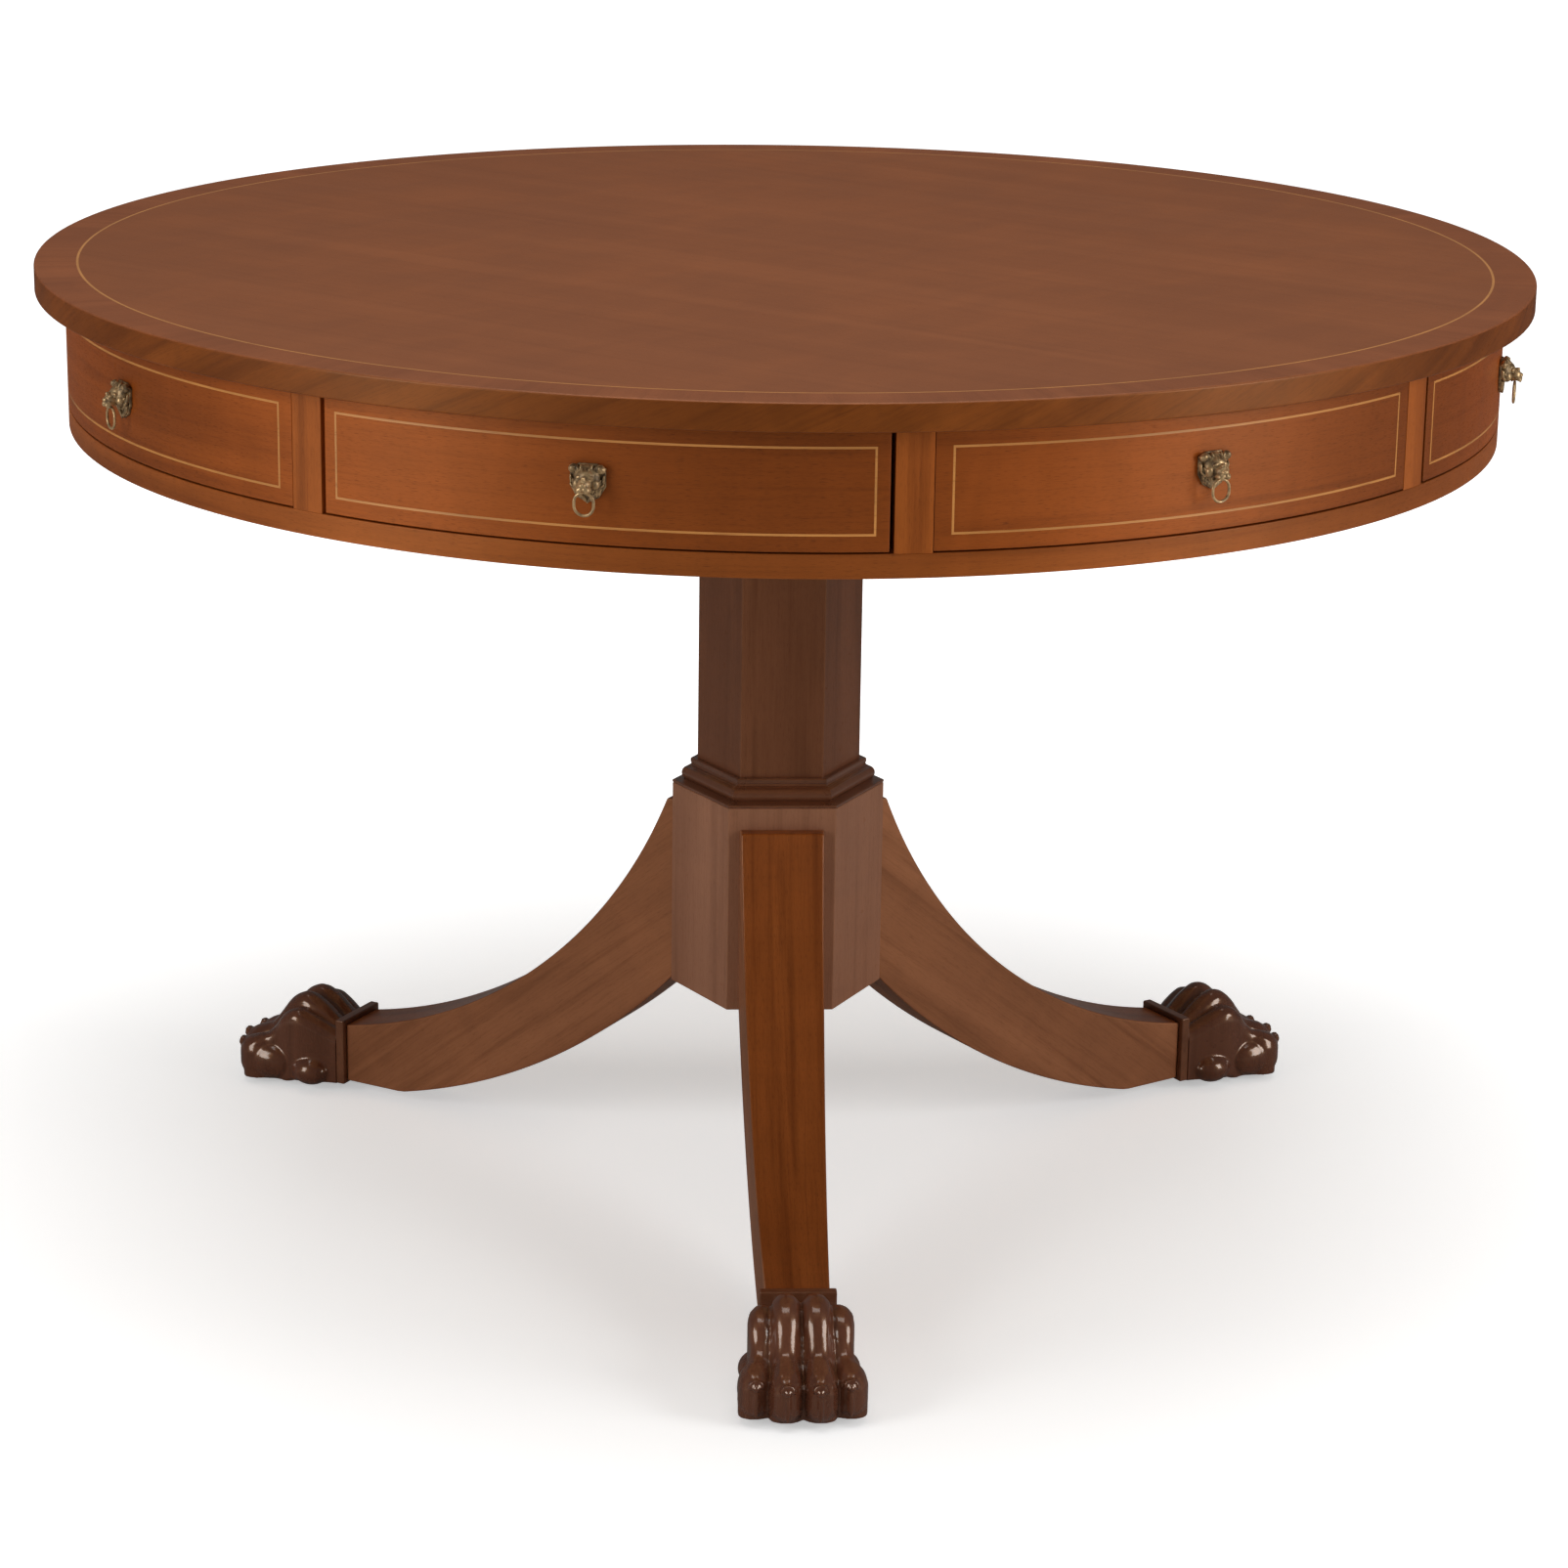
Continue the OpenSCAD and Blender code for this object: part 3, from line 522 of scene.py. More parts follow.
def drum_painted_sheen():
    """Painted sheen: a veneer's colour made lighter and darker in slow waves around the drum, standing in for the
    side softboxes' reflections.
    """
    tree, source, result = start_group(
        "Drum painted sheen",
        [("Position", "NodeSocketVector", None), ("Painted sheen", "NodeSocketFloat", 0.2),
         ("Color", "NodeSocketColor", (0.2, 0.07, 0.03, 1))],
        [("Color", "NodeSocketColor", None)],
    )
    direction = around_vector(tree, source.outputs["Position"], 1.0)
    around = put(tree, "ShaderNodeSeparateXYZ", inputs={0: direction})
    # Brightest where the side softboxes' reflections are painted in.
    phase = math_node(tree, "MULTIPLY", math_node(tree, "ADD", around.outputs[0], SHEEN_PEAK), SHEEN_RATE)
    wave = math_node(tree, "MULTIPLY", math_node(tree, "COSINE", phase), source.outputs["Painted sheen"])
    shade = mix_colour(tree, "MULTIPLY", 1.0, source.outputs["Color"], math_node(tree, "ADD", wave, 1.0))
    tree.links.new(shade, result.inputs["Color"])
    return tree


def mahogany_figure():
    """Mahogany: streaks along X, a slow ribbon, cross mottle painted lighter as the figure's sheen, fine fibre and
    open pores.
    """
    tree, source, result = start_group(
        "Mahogany figure",
        [
            ("Vector", "NodeSocketVector", None),
            ("Ground", "NodeSocketColor", (0.2, 0.07, 0.03, 1)),
            ("Contrast", "NodeSocketFloat", 1.0),
            ("Mottle sheen", "NodeSocketFloat", 0.3),
            ("Pores", "NodeSocketFloat", 0.5),
        ],
        [("Color", "NodeSocketColor", None), ("Height", "NodeSocketFloat", None),
         ("Dullness", "NodeSocketFloat", None)],
    )
    vector = source.outputs["Vector"]
    ground = source.outputs["Ground"]
    contrast = source.outputs["Contrast"]
    dark = mix_colour(tree, "MULTIPLY", 1.0, ground, (0.52, 0.44, 0.40))
    light = mix_colour(tree, "MULTIPLY", 1.0, ground, (1.38, 1.46, 1.5))
    ribbon = stretched_noise(tree, vector, (1.1, 17.0, 17.0), 2.0, 0.5, 0.6)
    streak = stretched_noise(tree, vector, (2.4, 95.0, 95.0), 4.0, 0.62, 0.25)
    fibre = stretched_noise(tree, vector, (22.0, 620.0, 620.0), 3.0, 0.6)
    mottle_sheen = stretched_noise(tree, vector, (26.0, 9.0, 9.0), 2.0, 0.5, 0.8)
    pore = stretched_noise(tree, vector, (170.0, 2900.0, 2900.0), 1.0, 0.4)
    light_share = math_node(tree, "MULTIPLY", ramp(tree, ribbon, 0.42, 0.72), contrast, True)
    slow = mix_colour(tree, "MIX", light_share, ground, light)
    dark_share = math_node(tree, "MULTIPLY", ramp(tree, streak, 0.46, 0.74), contrast)
    lined = mix_colour(tree, "MIX", math_node(tree, "MULTIPLY", dark_share, 0.62, True), slow, dark)
    fibre_share = math_node(tree, "MULTIPLY", ramp(tree, fibre, 0.45, 0.75), 0.34, True)
    grained = mix_colour(tree, "MIX", math_node(tree, "MULTIPLY", fibre_share, contrast, True), lined, dark)
    # Painted sheen: the mottle across the grain lightens the wood in the way the figure's shimmer would.
    glow = mix_colour(tree, "MULTIPLY", 1.0, grained, (1.26, 1.26, 1.22))
    mottle_sheened = mix_colour(tree, "MIX", math_node(tree, "MULTIPLY", ramp(tree, mottle_sheen, 0.38, 0.68),
                                                source.outputs["Mottle sheen"], True), grained, glow)
    open_pore = math_node(tree, "MULTIPLY", ramp(tree, pore, 0.58, 0.72), source.outputs["Pores"], True)
    pored = mix_colour(tree, "MULTIPLY", open_pore, mottle_sheened, (0.50, 0.44, 0.42))
    height = math_node(tree, "SUBTRACT", math_node(tree, "MULTIPLY", fibre, 0.25), open_pore)
    tree.links.new(pored, result.inputs["Color"])
    tree.links.new(height, result.inputs["Height"])
    tree.links.new(math_node(tree, "ADD", math_node(tree, "MULTIPLY", open_pore, 0.2),
                             math_node(tree, "MULTIPLY", mottle_sheen, 0.08)), result.inputs["Dullness"])
    return tree


def worn_varnish():
    """Slow changes in gloss, faint rubbing and dust over a varnished surface."""
    tree, source, result = start_group(
        "Worn varnish",
        [("Position", "NodeSocketVector", None), ("Roughness", "NodeSocketFloat", 0.35),
         ("Dullness", "NodeSocketFloat", 0.0), ("Color", "NodeSocketColor", (0.2, 0.07, 0.03, 1))],
        [("Roughness", "NodeSocketFloat", None), ("Color", "NodeSocketColor", None)],
    )
    cloud = put(tree, "ShaderNodeTexNoise", inputs={"Vector": source.outputs["Position"], "Scale": 7.0,
                                                    "Detail": 5.0, "Roughness": 0.6}).outputs[0]
    speck = put(tree, "ShaderNodeTexNoise", inputs={"Vector": source.outputs["Position"], "Scale": 160.0,
                                                    "Detail": 2.0}).outputs[0]
    rubbed = math_node(tree, "MULTIPLY", math_node(tree, "SUBTRACT", cloud, 0.5), 0.22)
    specks = math_node(tree, "MULTIPLY", ramp(tree, speck, 0.68, 0.74), 0.12)
    rough = math_node(tree, "ADD", source.outputs["Roughness"], math_node(tree, "ADD", rubbed, specks))
    total = math_node(tree, "ADD", rough, source.outputs["Dullness"], True)
    pale = mix_colour(tree, "MULTIPLY", 1.0, source.outputs["Color"], (1.14, 1.12, 1.1))
    shade = mix_colour(tree, "MIX", math_node(tree, "MULTIPLY", ramp(tree, cloud, 0.4, 0.7), 0.5, True),
                       source.outputs["Color"], pale)
    tree.links.new(total, result.inputs["Roughness"])
    tree.links.new(shade, result.inputs["Color"])
    return tree


GROUPS = {}
# Painted sheen around the drum: the turn of its brightest band, and how fast the bands repeat, one every 55
# degrees.
SHEEN_PEAK = radians(15)
SHEEN_RATE = 360 / 55


def shared_group(name):
    makers = {"around": drum_directions, "tone": drum_painted_sheen, "figure": mahogany_figure,
              "varnish": worn_varnish}
    if name not in GROUPS:
        GROUPS[name] = makers[name]()
    return GROUPS[name]


def start_material(name):
    """A new node material; returns the material, its tree, its shader and object coordinates."""
    material = bpy.data.materials.new(name)
    material.use_nodes = True
    tree = material.node_tree
    tree.nodes.clear()
    shader = tree.nodes.new("ShaderNodeBsdfPrincipled")
    output = tree.nodes.new("ShaderNodeOutputMaterial")
    tree.links.new(shader.outputs[0], output.inputs["Surface"])
    place = tree.nodes.new("ShaderNodeTexCoord").outputs["Object"]
    return material, tree, shader, place


def turned_vector(tree, place, angles):
    """Object coordinates turned so that X runs along the grain."""
    return put(tree, "ShaderNodeMapping", {"vector_type": "POINT"},
               {"Vector": place, "Rotation": angles}).outputs[0]


def around_vector(tree, place, radius):
    node = group_node(tree, shared_group("around"), {"Position": place, "Radius": radius})
    return node.outputs["Vector"]


def wood(name, ground, along, contrast=1.0, mottle_sheen=0.3, pores=0.5, roughness=0.42, coat=0.2,
         bump=0.02, coat_roughness=0.2, painted_sheen=0.0):
    """Varnished mahogany. along(tree, place) gives the vector whose X runs with the grain."""
    material, tree, shader, place = start_material(name)
    figure = group_node(tree, shared_group("figure"), {
        "Vector": along(tree, place), "Ground": (*ground, 1.0), "Contrast": contrast, "Mottle sheen": mottle_sheen,
        "Pores": pores,
    })
    worn = group_node(tree, shared_group("varnish"), {
        "Position": place, "Roughness": roughness, "Dullness": figure.outputs["Dullness"],
        "Color": figure.outputs["Color"],
    })
    relief = put(tree, "ShaderNodeBump", inputs={"Strength": 0.35, "Distance": bump * MM,
                                                 "Height": figure.outputs["Height"]})
    colour = worn.outputs["Color"]
    # Paints the side softboxes' sheen into the colour, in slow waves around the drum.
    if painted_sheen:
        colour = group_node(tree, shared_group("tone"), {"Position": place, "Painted sheen": painted_sheen, "Color": colour}
                            ).outputs["Color"]
    tree.links.new(colour, shader.inputs["Base Color"])
    tree.links.new(worn.outputs["Roughness"], shader.inputs["Roughness"])
    tree.links.new(relief.outputs[0], shader.inputs["Normal"])
    shader.inputs["Specular IOR Level"].default_value = 0.62
    shader.inputs["Specular Tint"].default_value = (1.0, 0.55, 0.26, 1.0)
    shader.inputs["Coat Weight"].default_value = coat
    shader.inputs["Coat Roughness"].default_value = coat_roughness
    return material


def grain_around(radius=None):
    return lambda tree, place: around_vector(tree, place, radius or DRUM_R)


def grain_upright():
    return lambda tree, place: turned_vector(tree, place, (0, radians(90), 0))


def grain_flat(turn):
    return lambda tree, place: turned_vector(tree, place, (0, 0, turn))


def grain_across_edge(tree, place):
    """Grain that runs out from the axis, for a band laid across the edge."""
    parts = put(tree, "ShaderNodeSeparateXYZ", inputs={0: around_vector(tree, place, TOP_R)}).outputs
    return put(tree, "ShaderNodeCombineXYZ", inputs={0: parts[1], 1: parts[0], 2: parts[2]}).outputs[0]


def grain_slanting(tree, place):
    """Figure that climbs across the rim of the top."""
    return turned_vector(tree, around_vector(tree, place, TOP_R), (0, radians(24), 0))


def grain_of_piece(tree, place):
    """Grain that follows a bent piece, from the vector it carries for its own surface."""
    return put(tree, "ShaderNodeAttribute", {"attribute_name": "grain"}).outputs["Vector"]


def grain_along_leg(turn):
    """Grain that slopes down and out with a leg that stands at a turn about the axis."""
    def along(tree, place):
        level = turned_vector(tree, place, (0, 0, radians(90) - turn))
        return turned_vector(tree, level, (0, radians(-38), 0))
    return along


def light_line_material(ground):
    material, tree, shader, place = start_material("light_line")
    along = around_vector(tree, place, DRUM_R)
    fibre = stretched_noise(tree, along, (40.0, 700.0, 700.0), 3.0)
    tone = stretched_noise(tree, along, (9.0, 9.0, 30.0), 2.0)
    pale = mix_colour(tree, "MIX", ramp(tree, tone, 0.35, 0.7), ground, [1.25 * c for c in ground])
    colour = mix_colour(tree, "MULTIPLY", ramp(tree, fibre, 0.5, 0.8), pale, (0.7, 0.6, 0.5))
    tree.links.new(colour, shader.inputs["Base Color"])
    worn = group_node(tree, shared_group("varnish"), {"Position": place, "Roughness": 0.34, "Color": colour})
    tree.links.new(worn.outputs["Roughness"], shader.inputs["Roughness"])
    shader.inputs["Coat Weight"].default_value = 0.35
    shader.inputs["Coat Roughness"].default_value = 0.16
    return material


def bare_wood_material(name, ground, along):
    """Planed softwood with slow growth lines, dusty and without varnish."""
    material, tree, shader, place = start_material(name)
    vector = along(tree, place)
    lines = stretched_noise(tree, vector, (1.6, 60.0, 60.0), 3.0, 0.5, 0.4)
    fibre = stretched_noise(tree, vector, (20.0, 500.0, 500.0), 3.0)
    brown = [0.62 * ground[0], 0.5 * ground[1], 0.4 * ground[2]]
    streaked = mix_colour(tree, "MIX", math_node(tree, "MULTIPLY", ramp(tree, lines, 0.5, 0.72), 0.7),
                          ground, brown)
    colour = mix_colour(tree, "MULTIPLY", math_node(tree, "MULTIPLY", ramp(tree, fibre, 0.45, 0.8), 0.5),
                        streaked, (0.7, 0.62, 0.55))
    relief = put(tree, "ShaderNodeBump", inputs={"Strength": 0.4, "Distance": 0.05 * MM, "Height": fibre})
    dull = math_node(tree, "ADD", 0.62, math_node(tree, "MULTIPLY", fibre, 0.2))
    tree.links.new(colour, shader.inputs["Base Color"])
    tree.links.new(dull, shader.inputs["Roughness"])
    tree.links.new(relief.outputs[0], shader.inputs["Normal"])
    return material


def aged_brass_material(brass, patina):
    """Cast brass: bright where it stands proud of the shield and rubbed, dark between."""
    material, tree, shader, place = start_material("aged_brass")
    grit = put(tree, "ShaderNodeTexNoise", inputs={"Vector": place, "Scale": 900.0, "Detail": 4.0}).outputs[0]
    cloud = put(tree, "ShaderNodeTexNoise", inputs={"Vector": place, "Scale": 210.0,
                                                    "Detail": 3.0}).outputs[0]
    worn = put(tree, "ShaderNodeAttribute", {"attribute_name": "proud"}).outputs["Fac"]
    rubbed = math_node(tree, "ADD", worn, math_node(tree, "MULTIPLY", math_node(tree, "SUBTRACT", cloud, 0.5),
                                                    1.1))
    share_bright = ramp(tree, rubbed, 0.22, 0.85)
    colour = mix_colour(tree, "MIX", share_bright, patina, brass)
    rough = math_node(tree, "SUBTRACT", 0.5, math_node(tree, "MULTIPLY", share_bright, 0.2))
    relief = put(tree, "ShaderNodeBump", inputs={"Strength": 0.4, "Distance": 0.06 * MM, "Height": grit})
    metal = math_node(tree, "ADD", 0.3, math_node(tree, "MULTIPLY", share_bright, 0.35), True)
    tree.links.new(colour, shader.inputs["Base Color"])
    tree.links.new(rough, shader.inputs["Roughness"])
    tree.links.new(metal, shader.inputs["Metallic"])
    tree.links.new(relief.outputs[0], shader.inputs["Normal"])
    return material


def iron_material():
    material, tree, shader, place = start_material("oiled_iron")
    grit = put(tree, "ShaderNodeTexNoise", inputs={"Vector": place, "Scale": 420.0, "Detail": 5.0}).outputs[0]
    rust = put(tree, "ShaderNodeTexNoise", inputs={"Vector": place, "Scale": 60.0, "Detail": 6.0}).outputs[0]
    colour = mix_colour(tree, "MIX", math_node(tree, "MULTIPLY", ramp(tree, rust, 0.55, 0.75), 0.6),
                        (0.07, 0.07, 0.072), (0.11, 0.045, 0.02))
    relief = put(tree, "ShaderNodeBump", inputs={"Strength": 0.5, "Distance": 0.1 * MM, "Height": grit})
    rough = math_node(tree, "ADD", 0.4, math_node(tree, "MULTIPLY", rust, 0.3))
    tree.links.new(colour, shader.inputs["Base Color"])
    tree.links.new(rough, shader.inputs["Roughness"])
    tree.links.new(relief.outputs[0], shader.inputs["Normal"])
    shader.inputs["Metallic"].default_value = 0.85
    return material


def floor_material():
    """Pale floor that glows for the camera, painted dim near the table and white far from it, and mirrors little
    of itself in the varnish.
    """
    material, tree, shader, place = start_material("studio_floor")
    tone = put(tree, "ShaderNodeTexNoise", inputs={"Vector": place, "Scale": 0.8, "Detail": 2.0}).outputs[0]
    pale = mix_colour(tree, "MIX", tone, (0.86, 0.86, 0.855), (0.88, 0.88, 0.875))
    path = put(tree, "ShaderNodeLightPath").outputs
    # Painted reflection: in glossy rays the floor is dark grey, so the varnish mirrors little of it.
    colour = mix_colour(tree, "MIX", path["Is Glossy Ray"], pale, (0.22, 0.21, 0.2))
    # Painted light: an emission seen only by the camera, dim near the table and brighter far off, so the floor
    # fades to white.
    away = put(tree, "ShaderNodeVectorMath", {"operation": "LENGTH"}, {0: place}).outputs["Value"]
    glow = math_node(tree, "ADD", 0.42, math_node(tree, "MULTIPLY", ramp(tree, away, 0.4, 2.0), 0.7))
    camera_glow = math_node(tree, "MULTIPLY", glow, path["Is Camera Ray"])
    tree.links.new(colour, shader.inputs["Base Color"])
    tree.links.new(mix_colour(tree, "MIX", camera_glow, (0, 0, 0), (1, 1, 1)), shader.inputs["Emission Color"])
    shader.inputs["Emission Strength"].default_value = 1.0
    shader.inputs["Roughness"].default_value = 0.9
    return material


MATERIALS = {}


def finish(name):
    """A finish by name, made once and kept."""
    if name in MATERIALS:
        return MATERIALS[name]
    colours = bpy.context.scene.table_finish
    satin = colours.varnish
    makers = {
        "top_field": lambda: wood("top_field", colours.top, grain_flat(radians(24)), 0.2, 0.14, 0.2,
                                  satin + 0.1, 0.08),
        "crossband": lambda: wood("crossband", colours.band, grain_across_edge, 0.4, 0.25, 0.3,
                                  satin + 0.1, 0.08),
        # The edge, the fronts, the rail and the uprights carry painted sheen around the drum.
        "top_edge": lambda: wood("top_edge", colours.edge, grain_slanting, 0.9, 0.5, 0.4, satin, 0.06,
                                 painted_sheen=0.12),
        "front": lambda: wood("front", colours.front, grain_around(), 0.8, 0.3, 0.7, satin, 0.06,
                              painted_sheen=0.3),
        "rail": lambda: wood("rail", colours.rail, grain_around(), 0.8, 0.25, 0.6, satin, 0.06,
                             painted_sheen=0.2),
        "stile": lambda: wood("stile", [1.16 * c for c in colours.rail], grain_upright(), 1.0, 0.2, 0.5,
                              satin, 0.06, painted_sheen=0.1),
        "column": lambda: wood("column", colours.column, grain_upright(), 0.9, 0.2, 0.5, satin, 0.15),
        # The block's lighter colour is partly painted light.
        "block": lambda: wood("block", colours.block, grain_upright(), 0.6, 0.2, 0.4, satin + 0.05, 0.2),
        "moulding": lambda: wood("moulding", [0.85 * c for c in colours.column], grain_around(BLOCK_R),
                                 0.8, 0.1, 0.4, satin - 0.14, 0.8),
        "collar": lambda: wood("collar", [0.9 * c for c in colours.column], grain_around(0.4), 0.7, 0.1,
                               0.4, satin - 0.1, 0.6),
        "paw": lambda: wood("paw", colours.paw, grain_upright(), 0.8, 0.2, 0.3, 0.24, 1.0, 0.02, 0.1),
        "line": lambda: light_line_material(colours.line),
        "brass": lambda: aged_brass_material(colours.brass, colours.patina),
        "iron": iron_material,
        "floor": floor_material,
    }
    for leg, turn in LEG_TURNS.items():
        makers["leg_" + leg] = lambda leg=leg, turn=turn: wood(
            "leg_side_" + leg, colours.leg, grain_along_leg(turn), 0.8, 0.3, 0.4, satin, 0.1)
        makers["leg_face_" + leg] = lambda leg=leg, turn=turn: wood(
            "leg_face_" + leg, colours.leg_face, grain_of_piece, 1.25, 0.3, 0.8, satin - 0.08, 0.3)
    for grain, turn in (("x", 0.0), ("y", 90.0)):
        makers["pine_" + grain] = lambda grain=grain, turn=turn: bare_wood_material(
            "pine_" + grain, colours.pine, grain_flat(radians(turn)))
    MATERIALS[name] = makers[name]()
    return MATERIALS[name]


# ---- Pieces ----


class TABLE_OT_top(bpy.types.Operator):
    """Makes the veneered board, the crossbanded edge and the light line of the table top"""

    bl_idname = "table.top"
    bl_label = "Table top"

    def execute(self, context):
        s = context.scene.table_top
        inner = STRING_R - s.line_w
        joint = STRING_R - s.band_gap
        bed = TOP_Z - s.line_t
        board = lathe([(0, BAY_TOP), (joint, BAY_TOP), (joint, bed), (inner, bed), (inner, TOP_Z),
                       (0, TOP_Z)], s.segments, close=False)
        finish_piece("top_board", board, "drum", finish("top_field"), ["top_panel"])
        rounds = (0, s.lower_arris, s.arris, 0)
        edge = lathe(rounded_section(STRING_R, TOP_R, BAY_TOP, TOP_Z, rounds, 6), s.segments)
        piece = finish_piece("top_edge_band", edge, "drum", finish("crossband"),
                             ["top_crossband"])
        piece.data.materials.append(finish("top_edge"))
        side_from = TOP_Z - 0.6 * s.arris
        for face in piece.data.polygons:
            if face.center.z < side_from:
                face.material_index = 1
        line = lathe([(inner, bed), (STRING_R, bed), (STRING_R, TOP_Z), (inner, TOP_Z)], s.segments)
        finish_piece("top_light_line", line, "drum", finish("line"), ["top_stringing"])
        return {"FINISHED"}


# Half of the sweep that a stile is cut from, in degrees
STILE_SPREAD = 4


class TABLE_OT_drum(bpy.types.Operator):
    """Makes the rail around the drum's lower edge and the eight uprights"""

    bl_idname = "table.drum"
    bl_label = "Rail and uprights"

    def execute(self, context):
        s = context.scene.table_drum
        rounds = (0, s.arris, s.arris, 0)
        rail = lathe(rounded_section(DRUM_R - s.thickness, DRUM_R, DRUM_Z, BAY_Z, rounds, 3),
                     context.scene.table_top.segments)
        finish_piece("bent_rail", rail, "drum", finish("rail"), ["drum_rail"])
        stiles = bmesh.new()
        for k in range(8):
            one = bmesh.new()
            outline = add_outline(one, [(DRUM_R - s.stile_depth, BAY_Z), (DRUM_R, BAY_Z), (DRUM_R, BAY_TOP),
                                        (DRUM_R - s.stile_depth, BAY_TOP)])
            spread = radians(STILE_SPREAD)
            bmesh.ops.rotate(one, verts=one.verts, cent=(0, 0, 0), matrix=Matrix.Rotation(-spread, 3, "Z"))
            bmesh.ops.spin(one, geom=outline, cent=(0, 0, 0), axis=(0, 0, 1), angle=2 * spread, steps=12)
            for side in (-1, 1):
                cut(one, (side * s.stile_w / 2, 0, 0), (side, 0, 0))
            round_edges(one, 0.5 * MM, 2)
            one.transform(turned(HALF_BAY + radians(45 * k)))
            pour(one, stiles)
        finish_piece("uprights", stiles, "drum", finish("stile"), ["drum_stiles"])
        return {"FINISHED"}


def front_board(turn, gap):
    """A bent front with rounded edges, at a turn about the axis."""
    s = bpy.context.scene.table_drum
    board = bent_board(DRUM_R - s.thickness, DRUM_R, FRONT_LOW, FRONT_HIGH, gap, s.stile_w)
    round_edges(board, s.arris, 3)
    board.transform(turned(turn))
    return board


def light_frame(bm, turn):
    """Adds the four strips of one front's light line to a bmesh."""
    s = bpy.context.scene.table_drum
    outer = DRUM_R + s.line_proud
    inner = DRUM_R - s.line_t
    inset = s.line_inset
    strips = [bent_board(inner, outer, z, z + s.line_w, inset, s.stile_w) for z in
              (LINE_LOW, LINE_HIGH - s.line_w)]
    whole = s.stile_w / 2 + inset
    for side in (-1, 1):
        ends_z = s.line_w + s.line_joint
        end = bent_board(inner, outer, LINE_LOW + ends_z, LINE_HIGH - ends_z, inset, s.stile_w)
        normal = Vector((side * cos(HALF_BAY), sin(HALF_BAY), 0))
        cut(end, normal * -(whole + s.line_w), -normal)
        strips.append(end)
    for strip in strips:
        strip.transform(turned(turn))
        pour(strip, bm)


class TABLE_OT_fronts(bpy.types.Operator):
    """Makes the four drawer fronts, the four dummy fronts and their light lines"""

    bl_idname = "table.fronts"
    bl_label = "Fronts"

    def execute(self, context):
        s = context.scene.table_drum
        for name, degrees in DRAWER_TURNS.items():
            turn = radians(degrees)
            finish_piece(name + "_front_board", front_board(turn, s.drawer_gap), name + "_drawer",
                         finish("front"), [name + "_drawer_front"])
            lines = bmesh.new()
            light_frame(lines, turn)
            finish_piece(name + "_front_line", lines, name + "_drawer", finish("line"),
                         [name + "_drawer_stringing"])
        boards = bmesh.new()
        lines = bmesh.new()
        for degrees in DUMMY_TURNS.values():
            pour(front_board(radians(degrees), s.dummy_gap), boards)
            light_frame(lines, radians(degrees))
        finish_piece("dummy_front_boards", boards, "drum", finish("front"), ["dummy_fronts"])
        finish_piece("dummy_front_lines", lines, "drum", finish("line"), ["dummy_stringing"])
        return {"FINISHED"}


class TABLE_OT_column(bpy.types.Operator):
    """Makes the hexagonal column, its mitred moulding, the block and the board on top"""

    bl_idname = "table.column"
    bl_label = "Column and block"

    def execute(self, context):
        s = context.scene.table_pedestal
        column = hexagonal_stack([(COLUMN_R, BLOCK_TOP), (COLUMN_R, COLUMN_TOP)], LEG_TURN)
        round_edges(column, s.arris, 3)
        finish_piece("hexagonal_column", column, "pedestal", finish("column"), ["column"])
        block = hexagonal_stack([(BLOCK_R, BLOCK_Z), (BLOCK_R, BLOCK_TOP)], LEG_TURN)
        round_edges(block, s.arris, 3)
        finish_piece("hexagonal_block", block, "pedestal", finish("block"), ["leg_block"])
        cap = hexagonal_stack([(CAP_R, COLUMN_TOP), (CAP_R, CAP_TOP)], LEG_TURN)
        round_edges(cap, s.cap_arris, 3)
        finish_piece("column_cap", cap, "pedestal", finish("column"), ["cap_board"])
        tall = MOULDING_TOP - BLOCK_TOP
        wide = BLOCK_R - COLUMN_R
        levels = [(BLOCK_R - 0.8 * MM, 0.0), (BLOCK_R, 0.6 * MM), (BLOCK_R, 1.9 * MM),
                  (BLOCK_R - 0.5 * MM, 2.4 * MM)]
        torus_r = 0.275 * tall
        torus_x = COLUMN_R + 0.63 * wide - torus_r
        torus_z = 2.5 * MM + torus_r
        levels += [(torus_x + torus_r + 1.6 * MM, 3.0 * MM), (torus_x + 0.8 * torus_r, 3.9 * MM)]
        for i in range(13):
            a = radians(-50 + 132 * i / 12)
            levels.append((torus_x + torus_r * cos(a), torus_z + torus_r * sin(a)))
        step_z = torus_z + torus_r
        hollow_r = 1.9 * MM
        for i in range(6):
            a = radians(90 * i / 5)
            levels.append((torus_x - hollow_r * sin(a), step_z + 0.6 * MM + hollow_r * (1 - cos(a))))
        lip = torus_x - hollow_r - 0.2 * MM
        fillet_r = lip + 0.7 * MM
        levels += [(lip, step_z + 2.9 * MM), (fillet_r, step_z + 3.3 * MM), (fillet_r, tall - 0.9 * MM),
                   (lip, tall), (COLUMN_R - 2 * MM, tall)]
        moulding = hexagonal_stack([(r, BLOCK_TOP + z) for r, z in levels], LEG_TURN)
        finish_piece("mitred_moulding", moulding, "pedestal", finish("moulding"),
                     ["column_moulding"], 32.0)
        return {"FINISHED"}


def arc_centre(a, b, r):
    """Centre of the arc of radius r from a to b that bends away below it."""
    middle = (a + b) / 2
    step = b - a
    rise = sqrt(r * r - step.length_squared / 4)
    return middle + Vector((-step.y, step.x)).normalized() * rise


# Sections along a leg, and how much closer together they are near the block
LEG_STEPS = 64
LEG_CROWDING = 1.35


